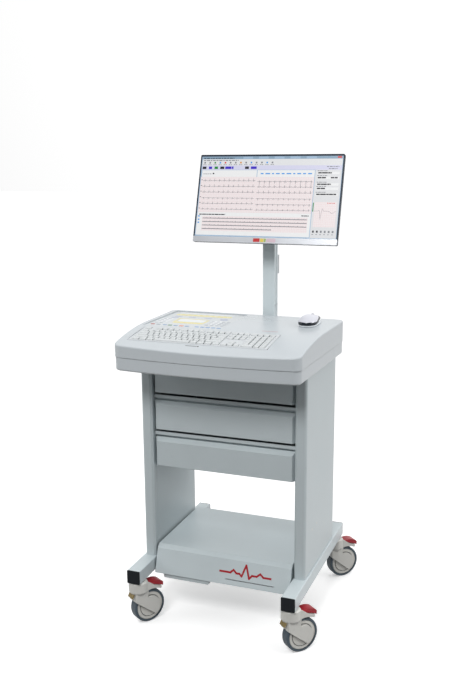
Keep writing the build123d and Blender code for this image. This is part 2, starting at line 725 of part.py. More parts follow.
def key_cap(width):
    """One tapered key cap with its guide stem, its foot on the local XY plane."""
    foot = Rectangle(width * KEY_PITCH - KEY_GAP, KEY_PITCH - KEY_GAP)
    head = Pos(0, 0.4, KEY_TALL) * Rectangle(width * KEY_PITCH - KEY_GAP - 2.8, KEY_PITCH - KEY_GAP - 3.2)
    stem = rod(KEY_STEM_R, (0, 0, 1), (0, 0, -1), KEY_LIFT + 2.2)
    return loft([foot.face(), head.face()]) + stem


def make_keys():
    """Six rows of key caps; each row is one node of separate caps."""
    rows = [[] for _ in range(KEY_ROWS)]
    for row, x, y, width in key_spots():
        rows[row].append(KEY_PLACE * Pos(x, y, KEY_FLOOR + KEY_LIFT) * key_cap(width))
    for row, caps in enumerate(rows, start=1):
        add(f"key_row_{row}", *caps)


# ---------------------------------------------------------------- mouse
MOUSE_SEAM = 10.0
MOUSE_SPLIT_Y = 4.0
SCROLL_Y = 28.0
SCROLL_Z = 17.0
SCROLL_R = 11.0
SCROLL_HALF = 3.0
SCROLL_AXLE_R = 1.2
EAR_X = (4.8, 6.4)
MOUSE_PLACE = Location(
    (MOUSE_X, MOUSE_Y, desk_z(MOUSE_Y) + 0.3),
    (desk_tilt(MOUSE_Y), 0, 0),
)


def mouse_body():
    """Whole mouse as one smooth solid, nose towards +Y."""
    low = Pos(0, 0, 0) * Ellipse(MOUSE_W / 2 - 3, MOUSE_L / 2 - 3)
    wide = Pos(0, 0, 8) * Ellipse(MOUSE_W / 2, MOUSE_L / 2)
    mid = Pos(0, -2, 18) * Ellipse(MOUSE_W / 2 - 3, MOUSE_L / 2 - 8)
    top = Pos(0, -6, MOUSE_H - 3) * Ellipse(MOUSE_W / 2 - 13, MOUSE_L / 2 - 24)
    return loft([low.face(), wide.face(), mid.face(), top.face()])


def make_mouse():
    """Mouse base, palm shell, two button plates and the scroll wheel."""
    whole = mouse_body()
    span = (-60, 60)
    base = whole & block(span, span, (0, MOUSE_SEAM))
    palm = whole & block(span, (-60, MOUSE_SPLIT_Y), (MOUSE_SEAM, 60))
    front = whole & block(span, (MOUSE_SPLIT_Y + 0.5, 60), (MOUSE_SEAM + 2.2, 60))
    reach = (SCROLL_Y - SCROLL_R - 1.5, SCROLL_Y + SCROLL_R + 1.5)
    base -= block((-SCROLL_HALF - 1, SCROLL_HALF + 1), reach, (SCROLL_Z - SCROLL_R - 1.5, 60))
    for side in (-1, 1):
        xs = sorted((side * EAR_X[0], side * EAR_X[1]))
        ear = block(xs, (SCROLL_Y - 3, SCROLL_Y + 3), (8, SCROLL_Z + 2.5))
        base += ear - rod(SCROLL_AXLE_R + 0.05, (-10, SCROLL_Y, SCROLL_Z), (1, 0, 0), 20)
    channel = block((-SCROLL_HALF - 0.6, SCROLL_HALF + 0.6), reach, (0, 60))
    channel += block((-9, 9), (SCROLL_Y - 4.5, SCROLL_Y + 4.5), (0, SCROLL_Z + 4))
    left = front & block((-60, -0.4), span, (0, 60))
    right = front & block((0.4, 60), span, (0, 60))
    scroll = rod(SCROLL_R, (SCROLL_HALF, SCROLL_Y, SCROLL_Z), (-1, 0, 0), 2 * SCROLL_HALF)
    scroll = fillet(scroll.edges(), 1.2)
    axle = rod(SCROLL_AXLE_R, (EAR_X[1], SCROLL_Y, SCROLL_Z), (-1, 0, 0), 2 * EAR_X[1])
    place = MOUSE_PLACE
    add("mouse_base", place * base)
    add("mouse_top", place * palm)
    add("mouse_buttons", place * (left - channel), place * (right - channel))
    add("mouse_wheel", place * (scroll + axle))


# ---------------------------------------------------------------- monitor and post
CARRIAGE_Z = 1206.0
CARRIAGE_H = 60.0
HINGE_DEPTH = 42.0
HINGE_R = 4.0
TILT_RAD = math.radians(MONITOR_TILT)
HINGE_Y = MONITOR_Y + HINGE_DEPTH * math.cos(TILT_RAD)
HINGE_Z = MONITOR_Z - HINGE_DEPTH * math.sin(TILT_RAD)
CLIP_Z = (990.0, 1046.0)


def screen_place():
    """Frame of the monitor: X along the width, Y up the screen, Z out of its front face."""
    return Plane(
        origin=(MONITOR_X, MONITOR_Y, MONITOR_Z),
        x_dir=(1, 0, 0),
        z_dir=(0, -math.cos(TILT_RAD), math.sin(TILT_RAD)),
    ).location


def make_post():
    """Upright post with a side groove, its brackets, and the sliding tilt carriage."""
    half = POST_W / 2
    tube = block((POST_X - half, POST_X + half), (POST_Y, POST_Y + POST_D), POST_Z)
    tube = fillet(tube.edges().filter_by(Axis.Z), 2.5)
    tube -= block((POST_X - half + 3, POST_X + half - 3), (POST_Y + 3, POST_Y + POST_D - 3), POST_Z)
    for side in (-1, 1):
        xs = sorted((POST_X + side * (half - 1.6), POST_X + side * (half + 1)))
        tube -= block(xs, (POST_Y + 12, POST_Y + 18), POST_Z)
    add("monitor_post", tube)
    foot = block((POST_X - 45, POST_X + 45), (BACK_Y, BACK_Y + 4), (DRAWER_LINES[0] - 20, DESK_Z + 20))
    foot -= block((POST_X - 30, POST_X + 30), (BACK_Y - 1, BACK_Y + 1), (DESK_Z, DESK_Z + 30))
    spacer = block((POST_X - 12, POST_X + 12), (BACK_Y + 4, POST_Y), (700, 780))
    clip = block((POST_X - 8, POST_X + half), (POST_Y + POST_D, POST_Y + POST_D + 15), CLIP_Z)
    clip = fillet(clip.edges().filter_by(Axis.Z), 3)
    top_cap = block((POST_X - half, POST_X + half), (POST_Y, POST_Y + POST_D), (POST_Z[1], POST_Z[1] + 3))
    top_cap = fillet(top_cap.edges().filter_by(Axis.Z), 2.5)
    heads = []
    for y in (POST_Y + 6, POST_Y + 24):
        heads.append(rod(2.6, (POST_X + half, y, 898), (1, 0, 0), 1.2))
    add("post_brackets", foot + spacer, clip, top_cap, *heads)

    clear = 0.35
    wall = 3.2
    z = (CARRIAGE_Z - CARRIAGE_H / 2, CARRIAGE_Z + CARRIAGE_H / 2)
    collar = block(
        (POST_X - half - wall, POST_X + half + wall),
        (POST_Y - wall, POST_Y + POST_D + wall),
        z,
    )
    collar = fillet(collar.edges().filter_by(Axis.Z), 2)
    collar -= block(
        (POST_X - half - clear, POST_X + half + clear),
        (POST_Y - clear, POST_Y + POST_D + clear),
        (z[0] - 1, z[1] + 1),
    )
    for side in (-1, 1):
        x0 = MONITOR_X + side * 15.5
        x1 = MONITOR_X + side * 19.5
        ear = block(sorted((x0, x1)), (HINGE_Y, POST_Y - wall + 0.5), (HINGE_Z - 9, HINGE_Z + 9))
        ear += rod(9, (min(x0, x1), HINGE_Y, HINGE_Z), (1, 0, 0), 4)
        collar += ear
    collar += rod(HINGE_R, (MONITOR_X - 19.5, HINGE_Y, HINGE_Z), (1, 0, 0), 39)
    add("tilt_bracket", collar)


BEZEL_SIDE = 3.5
BEZEL_TOP = 5.0
BEZEL_FOOT = 17.0


def make_monitor():
    """Rear shell with its hinge lug, front bezel and the display panel."""
    place = screen_place()
    half_w = MONITOR_W / 2
    half_h = MONITOR_H / 2
    frame = Pos(0, 0, -6) * Box(MONITOR_W, MONITOR_H, 12)
    frame = fillet(frame.edges().filter_by(Axis.Z), 3)
    mid_v = (BEZEL_FOOT - BEZEL_TOP) / 2
    window = (MONITOR_W - 2 * BEZEL_SIDE, MONITOR_H - BEZEL_FOOT - BEZEL_TOP)
    frame -= Pos(0, mid_v, 0) * Box(window[0], window[1], 60)
    frame -= Pos(0, 0, -9) * Box(MONITOR_W - 5, MONITOR_H - 5, 14)
    add("monitor_bezel", place * frame)
    sheet = Pos(0, 0, -6.2) * Box(MONITOR_W - 5.4, MONITOR_H - 5.4, 7.6)
    add("lcd_panel", place * sheet)

    rim = Pos(0, 0, -12) * RectangleRounded(MONITOR_W, MONITOR_H, 3)
    step = Pos(0, 0, -17) * RectangleRounded(MONITOR_W - 6, MONITOR_H - 6, 6)
    rear = Pos(0, -6, -30) * RectangleRounded(MONITOR_W - 120, MONITOR_H - 90, 20)
    shell = loft([rim.face(), step.face()])
    shell += loft([step.face(), rear.face()])
    for row in range(9):
        shell -= Pos(0, 34 + row * 5, -30) * Box(150, 2.2, 8)
    shell -= Pos(0, 0, -41) * Box(54, 46, 36)
    lug = Pos(0, 0, -(23 + HINGE_DEPTH) / 2) * Box(28, 16, HINGE_DEPTH - 23)
    lug += Pos(-14, 0, -HINGE_DEPTH) * extrude(Plane.YZ * Circle(8), 28)
    lug -= Pos(-15, 0, -HINGE_DEPTH) * extrude(Plane.YZ * Circle(HINGE_R + 0.05), 30)
    shell += lug
    add("monitor_back", place * shell)


# ---------------------------------------------------------------- assemble and write
def main():
    """Build every node, move it to the footprint's centre and write one STEP per node."""
    make_rails()
    make_castors()
    make_base_housing()
    make_columns()
    make_drawers()
    make_desk()
    make_keys()
    make_mouse()
    make_post()
    make_monitor()
    os.makedirs("parts", exist_ok=True)
    shift = Pos(-FOOT_SHIFT[0], -FOOT_SHIFT[1], 0)
    low = [1e9] * 3
    high = [-1e9] * 3
    for name, solids in NODES.items():
        shape = Compound([shift * s for s in solids]) if len(solids) > 1 else shift * solids[0]
        export_step(shape, f"parts/{name}.step")
        box = shape.bounding_box()
        low = [min(a, b) for a, b in zip(low, box.min)]
        high = [max(a, b) for a, b in zip(high, box.max)]
    print("nodes", len(NODES))
    print("low", [round(v, 2) for v in low], "high", [round(v, 2) for v in high])
    print("centre", [round((a + b) / 2, 2) for a, b in zip(low, high)])


main()
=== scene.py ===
import json
import math

import bmesh
import bpy
from mathutils import Matrix, Vector


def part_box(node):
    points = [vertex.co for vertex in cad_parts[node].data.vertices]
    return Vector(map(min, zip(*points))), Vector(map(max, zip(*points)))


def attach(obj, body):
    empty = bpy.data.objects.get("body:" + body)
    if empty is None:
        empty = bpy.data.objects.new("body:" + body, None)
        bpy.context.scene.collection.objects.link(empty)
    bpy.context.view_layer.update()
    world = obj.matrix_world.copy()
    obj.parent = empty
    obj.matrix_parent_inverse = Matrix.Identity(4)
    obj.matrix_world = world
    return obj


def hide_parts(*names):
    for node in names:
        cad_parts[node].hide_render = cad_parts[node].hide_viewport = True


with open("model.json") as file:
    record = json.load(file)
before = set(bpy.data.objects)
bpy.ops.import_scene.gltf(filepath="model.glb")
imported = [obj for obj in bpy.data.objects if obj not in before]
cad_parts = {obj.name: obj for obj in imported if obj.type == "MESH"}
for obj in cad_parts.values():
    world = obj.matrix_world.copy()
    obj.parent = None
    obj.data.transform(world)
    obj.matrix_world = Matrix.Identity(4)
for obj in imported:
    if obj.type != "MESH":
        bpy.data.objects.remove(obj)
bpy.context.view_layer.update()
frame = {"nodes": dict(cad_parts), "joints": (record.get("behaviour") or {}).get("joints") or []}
NODES = frame["nodes"]
MM = 0.001


# ---------------------------------------------------------------- materials
NOISE_SPAN = (0.3, 0.7)  # most of a noise texture's values lie between these
BROAD_SCALE = 6.0  # noise scales are per metre
WEAR_SCALE = 45.0
DUST_SCALE = 60.0
DUST_SPAN = (0.62, 0.72)
DUST_SHADE = 0.82
EDGE_SPAN = (0.995, 0.9)  # cosine of the rounded normal's turn on a flat and on an edge
BUMP_DEPTH = 0.0004
SCREEN_GLOW = 0.68
SCREEN_DARK = 0.8
SCREEN_SHINE = 0.25


def new_tree(name):
    """Empty node material with its shader and object coordinates."""
    material = bpy.data.materials.new(name)
    material.use_nodes = True
    tree = material.node_tree
    coords = tree.nodes.new("ShaderNodeTexCoord").outputs["Object"]
    return material, tree, tree.nodes["Principled BSDF"], coords


def add_noise(tree, coords, scale, detail=2.0):
    """Noise texture's factor at a scale per metre."""
    node = tree.nodes.new("ShaderNodeTexNoise")
    node.inputs["Scale"].default_value = scale
    node.inputs["Detail"].default_value = detail
    tree.links.new(coords, node.inputs["Vector"])
    return node.outputs["Fac"]


def add_range(tree, value, low, high, out_low, out_high):
    """Clamped linear map of a value."""
    node = tree.nodes.new("ShaderNodeMapRange")
    tree.links.new(value, node.inputs["Value"])
    numbers = {"From Min": low, "From Max": high, "To Min": out_low, "To Max": out_high}
    for key, number in numbers.items():
        node.inputs[key].default_value = number
    return node.outputs["Result"]


def add_math(tree, operation, first, second):
    """Math node on sockets or numbers."""
    node = tree.nodes.new("ShaderNodeMath")
    node.operation = operation
    for socket, value in zip(node.inputs, (first, second)):
        if isinstance(value, (int, float)):
            socket.default_value = value
        else:
            tree.links.new(value, socket)
    return node.outputs["Value"]


def add_mix(tree, factor, first, second):
    """Colour mix; each colour is a socket or an (r, g, b)."""
    node = tree.nodes.new("ShaderNodeMix")
    node.data_type = "RGBA"
    sockets = [node.inputs[i] for i in (0, 6, 7)]  # factor and the two colours
    for socket, value in zip(sockets, (factor, first, second)):
        if isinstance(value, tuple):
            socket.default_value = (*value, 1)
        elif isinstance(value, float):
            socket.default_value = value
        else:
            tree.links.new(value, socket)
    return node.outputs[2]


def show(tree, shader, tint):
    """Make a shader glow with a colour like a lit display and reflect little of its own."""
    dark = add_mix(tree, SCREEN_DARK, tint, (0.0, 0.0, 0.0))
    tree.links.new(dark, shader.inputs["Base Color"])
    tree.links.new(tint, shader.inputs["Emission Color"])
    shader.inputs["Emission Strength"].default_value = SCREEN_GLOW
    shader.inputs["Specular IOR Level"].default_value = SCREEN_SHINE


def shaded(color, factor):
    """Colour made lighter or darker."""
    return tuple(min(1.0, channel * factor) for channel in color)


def edge_mask(tree, radius):
    """One on sharp edges and zero on flats, with the rounded normal it came from."""
    bevel = tree.nodes.new("ShaderNodeBevel")
    bevel.samples = 4
    bevel.inputs["Radius"].default_value = radius
    flat = tree.nodes.new("ShaderNodeNewGeometry").outputs["Normal"]
    dot = tree.nodes.new("ShaderNodeVectorMath")
    dot.operation = "DOT_PRODUCT"
    tree.links.new(bevel.outputs["Normal"], dot.inputs[0])
    tree.links.new(flat, dot.inputs[1])
    mask = add_range(tree, dot.outputs["Value"], *EDGE_SPAN, 0.0, 1.0)
    return mask, bevel.outputs["Normal"]


def surface(name, color, rough, vary=0.03, grain=900.0, bump=0.08, metallic=0.0, edge=None,
            edge_radius=0.0008, stretch=None, coat=0.0, dust=0.0, shine=0.5):
    """Material with broad colour variation, fine grain and rounded edges tinted towards an edge
    colour: wear on most finishes, a painted highlight on the desk plastic.
    """
    material, tree, shader, coords = new_tree(name)
    grain_coords = coords
    if stretch:
        mapping = tree.nodes.new("ShaderNodeMapping")
        mapping.inputs["Scale"].default_value = stretch
        tree.links.new(coords, mapping.inputs["Vector"])
        grain_coords = mapping.outputs["Vector"]
    broad = add_noise(tree, coords, BROAD_SCALE, 4.0)
    fine = add_noise(tree, grain_coords, grain, 3.0)
    spread = add_range(tree, broad, *NOISE_SPAN, 0.0, 1.0)
    tint = add_mix(tree, spread, shaded(color, 1 - vary), shaded(color, 1 + vary))
    if dust:
        specks = add_noise(tree, coords, DUST_SCALE, 6.0)
        spots = add_range(tree, specks, *DUST_SPAN, 0.0, dust)
        tint = add_mix(tree, spots, tint, shaded(color, DUST_SHADE))
    bump_node = tree.nodes.new("ShaderNodeBump")
    bump_node.inputs["Strength"].default_value = bump
    bump_node.inputs["Distance"].default_value = BUMP_DEPTH
    tree.links.new(fine, bump_node.inputs["Height"])
    if edge:
        mask, normal = edge_mask(tree, edge_radius)
        patchy = add_range(tree, add_noise(tree, coords, WEAR_SCALE, 5.0), 0.4, 0.7, 0.1, 0.8)
        tint = add_mix(tree, add_math(tree, "MULTIPLY", mask, patchy), tint, edge)
        tree.links.new(normal, bump_node.inputs["Normal"])
    tree.links.new(tint, shader.inputs["Base Color"])
    mixed = add_math(tree, "ADD", add_math(tree, "MULTIPLY", broad, 0.7),
                     add_math(tree, "MULTIPLY", fine, 0.3))
    roughness = add_range(tree, mixed, *NOISE_SPAN, rough - 0.05, rough + 0.06)
    tree.links.new(roughness, shader.inputs["Roughness"])
    tree.links.new(bump_node.outputs["Normal"], shader.inputs["Normal"])
    shader.inputs["Metallic"].default_value = metallic
    shader.inputs["Coat Weight"].default_value = coat
    shader.inputs["Specular IOR Level"].default_value = shine
    return material


def vary_roughness(tree, shader, coords, scale, low, high):
    """Roughness that drifts between two values."""
    roughness = add_range(tree, add_noise(tree, coords, scale), *NOISE_SPAN, low, high)
    tree.links.new(roughness, shader.inputs["Roughness"])


def circuit_material():
    """Green circuit board: tracks as a fine brick pattern under solder mask."""
    material, tree, shader, coords = new_tree("circuit")
    brick = tree.nodes.new("ShaderNodeTexBrick")
    brick.inputs["Scale"].default_value = 260.0
    brick.inputs["Color1"].default_value = (0.02, 0.16, 0.07, 1)
    brick.inputs["Color2"].default_value = (0.015, 0.12, 0.06, 1)
    brick.inputs["Mortar"].default_value = (0.10, 0.30, 0.12, 1)
    tree.links.new(coords, brick.inputs["Vector"])
    tree.links.new(brick.outputs["Color"], shader.inputs["Base Color"])
    vary_roughness(tree, shader, coords, 80.0, 0.25, 0.4)
    return material


def grid_material(name, paper, line, small, large, weak):
    """Chart paper: small and large squares drawn on the screen's own plane."""
    material, tree, shader, _ = new_tree(name)
    coords = tree.nodes.new("ShaderNodeUVMap").outputs["UV"]
    split = tree.nodes.new("ShaderNodeSeparateXYZ")
    tree.links.new(coords, split.inputs["Vector"])
    total = None
    for pitch, width, strength in ((small, 0.14, weak), (large, 0.06, 1.0)):
        for axis in ("X", "Y"):
            phase = add_math(tree, "DIVIDE", split.outputs[axis], pitch)
            on_line = add_math(tree, "LESS_THAN", add_math(tree, "FRACT", phase, 0.0), width)
            mask = add_math(tree, "MULTIPLY", on_line, strength)
            total = mask if total is None else add_math(tree, "MAXIMUM", total, mask)
    show(tree, shader, add_mix(tree, total, paper, line))
    vary_roughness(tree, shader, coords, 300.0, 0.22, 0.3)
    return material


def glow_material(name, color):
    """Colour shown by the screen."""
    material, tree, shader, coords = new_tree(name)
    fine = add_range(tree, add_noise(tree, coords, 2500.0), *NOISE_SPAN, 0.0, 1.0)
    show(tree, shader, add_mix(tree, fine, shaded(color, 0.97), shaded(color, 1.03)))
    vary_roughness(tree, shader, coords, 90.0, 0.24, 0.3)
    return material


PAINT = (0.522, 0.583, 0.603)
WORN_PAINT = (0.64, 0.67, 0.68)
WORN_CASTOR = (0.7, 0.7, 0.67)


def light_paint(name, shade, rough, dust):
    """Textured light paint of the sheet metal, as a shade of one colour."""
    return surface(name, shaded(PAINT, shade), rough, grain=1400, bump=0.10, edge=WORN_PAINT,
                   dust=dust)


paint = light_paint("light_paint", 1.0, 0.42, 0.12)
rail_paint = light_paint("rail_paint", 1.12, 0.40, 0.15)
# housing and post: lighter copies of the same paint, painted light that brightens these parts
housing_lit_paint = light_paint("housing_lit_paint", 1.12, 0.38, 0.10)
post_lit_paint = light_paint("post_lit_paint", 1.22, 0.42, 0.08)
dark_paint = surface("dark_paint", (0.24, 0.26, 0.28), 0.45, grain=1200, bump=0.12,
                     edge=(0.5, 0.5, 0.5))
bracket_paint = surface("bracket_paint", (0.50, 0.54, 0.56), 0.42, grain=1400, bump=0.1,
                        edge=WORN_PAINT)
# the desk plastic's lighter edge colour is a painted highlight along its arrises
desk_plastic = surface("desk_plastic", (0.525, 0.567, 0.595), 0.30, vary=0.02, grain=2600,
                       bump=0.05, edge=(0.66, 0.68, 0.69), edge_radius=0.0012)
membrane = surface("membrane", (0.60, 0.635, 0.655), 0.38, vary=0.02, grain=3200, bump=0.06)
key_plastic = surface("key_plastic", (0.60, 0.63, 0.64), 0.42, grain=3000, bump=0.08,
                      edge=(0.70, 0.71, 0.72), edge_radius=0.0004)
keybed = surface("keybed", (0.60, 0.63, 0.65), 0.5, grain=2000, bump=0.1)
black_plastic = surface("black_plastic", (0.006, 0.008, 0.011), 0.5, grain=1500, bump=0.2,
                        edge=(0.02, 0.022, 0.025), shine=0.12)
zinc = surface("zinc", (0.60, 0.60, 0.58), 0.32, vary=0.1, grain=500, bump=0.1, metallic=1.0)
sheet_steel = surface("sheet_steel", (0.55, 0.56, 0.57), 0.35, grain=700, bump=0.06,
                      metallic=1.0, stretch=(1, 30, 1))
core_iron = surface("core_iron", (0.12, 0.10, 0.09), 0.5, grain=300, bump=0.3,
                    metallic=0.6, stretch=(1, 1, 12))
circuit = circuit_material()
bezel_dark = surface("bezel_dark", (0.022, 0.035, 0.055), 0.4, grain=2200, bump=0.08,
                     edge=(0.05, 0.07, 0.10), shine=0.15)
monitor_shell = surface("monitor_shell", (0.035, 0.036, 0.04), 0.48, grain=1000, bump=0.35)
silver = surface("silver_bar", (0.66, 0.68, 0.72), 0.3, grain=1800, bump=0.04,
                 metallic=0.35, stretch=(1, 20, 20))
screen_glass = glow_material("screen_base", (0.86, 0.87, 0.88))
mouse_white = surface("mouse_white", (0.84, 0.86, 0.88), 0.22, vary=0.01, grain=1500,
                      bump=0.02, coat=0.4)
mouse_silver = surface("mouse_silver", (0.67, 0.68, 0.74), 0.35, vary=0.02, grain=5000,
                       bump=0.03, metallic=0.15)
mouse_band = surface("mouse_band", (0.004, 0.008, 0.014), 0.16, vary=0.1, grain=500,
                     bump=0.01, shine=0.4)
scroll_rubber = surface("scroll_rubber", (0.50, 0.51, 0.55), 0.5, grain=900, bump=0.4)
castor_grey = surface("castor_grey", (0.69, 0.685, 0.65), 0.40, grain=1600, bump=0.12,
                      edge=WORN_CASTOR, dust=0.25)
castor_disc = surface("castor_disc", (0.70, 0.69, 0.65), 0.42, grain=1600, bump=0.12,
                      edge=WORN_CASTOR, dust=0.3)
tyre_rubber = surface("tyre_rubber", (0.046, 0.068, 0.088), 0.55, vary=0.12, grain=700,
                      bump=0.25, dust=0.4)
brake_red = surface("brake_red", (0.34, 0.012, 0.022), 0.3, vary=0.06, grain=1800,
                    bump=0.06, edge=(0.5, 0.05, 0.06), shine=0.3)
brass = surface("brass", (0.22, 0.17, 0.08), 0.4, vary=0.15, grain=600, bump=0.15,
                metallic=0.9)
shadow_gap = surface("shadow_gap", (0.02, 0.022, 0.025), 0.7, bump=0.1, shine=0.1)
ring_shadow = surface("ring_shadow", (0.14, 0.15, 0.155), 0.6, bump=0.1, shine=0.2)
key_shadow = surface("key_shadow", (0.13, 0.135, 0.14), 0.7, bump=0.1, shine=0.1)

CAD_FINISH = {
    "left_rail": rail_paint, "right_rail": rail_paint, "rail_end_caps": black_plastic,
    "base_crossbars": dark_paint, "computer_unit": sheet_steel,
    "isolation_transformer": core_iron, "power_inlet": black_plastic, "panel_screws": zinc,
    "cabinet_crosspieces": dark_paint, "drawer_guides": zinc,
    "desk_lower_shell": desk_plastic, "desk_upper_shell": desk_plastic,
    "control_panel": membrane, "keyboard_base": keybed, "ecg_board": circuit,
    "housing_cover": housing_lit_paint, "housing_floor": housing_lit_paint,
    "post_brackets": bracket_paint, "castor_stems": zinc, "tilt_bracket": dark_paint,
    "monitor_post": post_lit_paint, "monitor_back": monitor_shell,
    "monitor_bezel": bezel_dark, "lcd_panel": screen_glass, "mouse_wheel": scroll_rubber,
}
CAD_ENDINGS = {"_fork": castor_grey, "_wheel": castor_disc, "_tyre": tyre_rubber,
               "_pedal": brake_red}


def finish_cad_nodes():
    """Give every carried-over CAD node its procedural material."""
    for name, node in NODES.items():
        look = CAD_FINISH.get(name, paint)
        for ending, material in CAD_ENDINGS.items():
            if name.startswith("castor_") and name.endswith(ending):
                look = material
        node.data.materials.clear()
        node.data.materials.append(look)


# ---------------------------------------------------------------- mesh helpers
RAY_START = 3.0  # metres from the origin, well outside the machine


def make_piece(name, mesh, material, body, slot, smooth=False):
    """Object that rides on a body, with the given material; the slot argument is not used."""
    mesh.materials.append(material)
    for face in mesh.polygons:
        face.use_smooth = smooth
    item = bpy.data.objects.new(name, mesh)
    bpy.context.scene.collection.objects.link(item)
    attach(item, body)
    return item


def mesh_from(name, verts, faces, place=Matrix.Identity(4)):
    """Mesh from points, moved by a matrix."""
    mesh = bpy.data.meshes.new(name)
    mesh.from_pydata([place @ Vector(v) for v in verts], [], faces)
    mesh.update()
    return mesh


def plane_matrix(origin, x_dir, z_dir):
    """Matrix of a local frame whose Z is the surface normal."""
    z = Vector(z_dir).normalized()
    x = (Vector(x_dir) - z * Vector(x_dir).dot(z)).normalized()
    y = z.cross(x)
    return Matrix.Translation(origin) @ Matrix((x, y, z)).transposed().to_4x4()


def rounded_outline(width, depth, radius, steps=4):
    """Points of a rounded rectangle about the origin."""
    points = []
    for cx, cy, start in ((1, 1, 0), (-1, 1, 90), (-1, -1, 180), (1, -1, 270)):
        for step in range(steps + 1):
            angle = math.radians(start + 90 * step / steps)
            x = cx * (width / 2 - radius) + radius * math.cos(angle)
            y = cy * (depth / 2 - radius) + radius * math.sin(angle)
            points.append((x, y))
    return points


def add_stack(verts, faces, rings, place):
    """Closed skin through rings of equal point count, capped at both ends."""
    count = len(rings[0])
    base = len(verts)
    for ring in rings:
        verts.extend(place @ Vector(point) for point in ring)
    for level in range(len(rings) - 1):
        for i in range(count):
            a = base + level * count + i
            b = base + level * count + (i + 1) % count
            faces.append((a, b, b + count, a + count))
    faces.append(tuple(base + i for i in reversed(range(count))))
    faces.append(tuple(base + (len(rings) - 1) * count + i for i in range(count)))


def make_stacks(name, stacks, material, body, slot, smooth=False):
    """Piece of closed skins, each given as its rings and its place."""
    verts = []
    faces = []
    for rings, place in stacks:
        add_stack(verts, faces, rings, place)
    return make_piece(name, mesh_from(name, verts, faces), material, body, slot, smooth)


def pad_rings(width, depth, height, radius, soft):
    """Rings of a low pad with a rounded top edge."""
    rings = []
    edge = ((0, 0), (height - soft, 0), (height - soft * 0.35, soft * 0.3), (height, soft))
    for level, inset in edge:
        corner = max(radius - inset, 0.15 * radius)
        outline = rounded_outline(width - 2 * inset, depth - 2 * inset, corner)
        rings.append([(x, y, level) for x, y in outline])
    inner = rounded_outline(width * 0.6, depth * 0.6, radius * 0.5)
    rings.append([(x, y, height) for x, y in inner])
    return rings


def first_hit(node, start, run):
    """First point of a CAD node on a ray, with its normal."""
    hit, place, normal, _ = NODES[node].ray_cast(Vector(start), Vector(run))
    if not hit:
        raise ValueError(f"nothing of {node} on the ray from {start}")
    return place, normal


# ---------------------------------------------------------------- camera, light and floor
CAMERA_AT = (0.84783, -2.32782, 1.3325)
CAMERA_YAW = 20.75
CAMERA_PITCH = 12.41
CAMERA_ROLL = -0.37
CAMERA_LENS = 44.82
SKY_LEVEL = 0.60  # level with the horizon; the next three are added towards +Y, +X and +Z
SKY_REAR = 0.56
SKY_RIGHT = 0.15
SKY_TOP = 0.16
GROUND_LEVEL = 0.07
HORIZON_SPAN = (-0.2, -0.06)  # the ground turns into sky between these heights
FLOOR_GLOW = 0.35
FLOOR_HALF = 30
FLOOR_GREY = 0.93
# name, place, aim, size in metres, power in watts
LIGHTS = (
    ("overhead_light", (0.2, 0.4, 3.4), (0, 0, 0.8), 2.4, 4),
    ("front_light", (0.1, -3.0, 3.3), (0, 0, 0.6), 1.1, 76),
    ("right_light", (3.0, 0.3, 1.9), (0, 0, 0.7), 1.8, 22),
    ("left_light", (-3.0, -1.6, 1.6), (0, 0, 0.5), 1.4, 20),
)


def make_camera():
    """Camera at the photograph's viewpoint, looking slightly down from the front right."""
    yaw = math.radians(CAMERA_YAW)
    pitch = math.radians(CAMERA_PITCH)
    roll = math.radians(CAMERA_ROLL)
    level = Vector((-math.sin(yaw), math.cos(yaw), 0))
    forward = level * math.cos(pitch) - Vector((0, 0, math.sin(pitch)))
    right = Vector((math.cos(yaw), math.sin(yaw), 0))
    up = right.cross(forward)
    tipped = right * math.cos(roll) + up * math.sin(roll)
    up = up * math.cos(roll) - right * math.sin(roll)
    data = bpy.data.cameras.new("camera")
    data.lens = CAMERA_LENS
    data.sensor_width = 36
    camera = bpy.data.objects.new("camera", data)
    rotation = Matrix((tipped, up, -forward)).transposed().to_4x4()
    camera.matrix_world = Matrix.Translation(CAMERA_AT) @ rotation
    bpy.context.scene.collection.objects.link(camera)
    bpy.context.scene.camera = camera


def area_light(name, place, aim, size, power):
    """Square soft light that looks at a point."""
    data = bpy.data.lights.new(name, "AREA")
    data.shape = "SQUARE"
    data.size = size
    data.energy = power
    lamp = bpy.data.objects.new(name, data)
    lamp.location = place
    run = Vector(aim) - Vector(place)
    lamp.rotation_euler = run.to_track_quat("-Z", "Y").to_euler()
    bpy.context.scene.collection.objects.link(lamp)


def make_surroundings():
    """White surroundings: brightest behind the machine, dimmer in front and below."""
    world = bpy.data.worlds.new("surroundings")
    world.use_nodes = True
    tree = world.node_tree
    split = tree.nodes.new("ShaderNodeSeparateXYZ")
    direction = tree.nodes.new("ShaderNodeTexCoord").outputs["Generated"]
    tree.links.new(direction, split.inputs["Vector"])
    sky = add_math(tree, "MULTIPLY_ADD", split.outputs["Y"], SKY_REAR)
    sky.node.inputs[2].default_value = SKY_LEVEL
    sky = add_math(tree, "ADD", sky, add_math(tree, "MULTIPLY", split.outputs["X"], SKY_RIGHT))
    sky = add_math(tree, "ADD", sky, add_math(tree, "MULTIPLY", split.outputs["Z"], SKY_TOP))
    above = add_range(tree, split.outputs["Z"], *HORIZON_SPAN, 0.0, 1.0)
    ground = add_math(tree, "MULTIPLY", add_math(tree, "SUBTRACT", 1.0, above), GROUND_LEVEL)
    strength = add_math(tree, "ADD", add_math(tree, "MULTIPLY", sky, above), ground)
    tree.links.new(strength, tree.nodes["Background"].inputs["Strength"])
    tree.nodes["Background"].inputs["Color"].default_value = (1, 1, 1, 1)
    bpy.context.scene.world = world
    bpy.context.scene.view_settings.view_transform = "Standard"


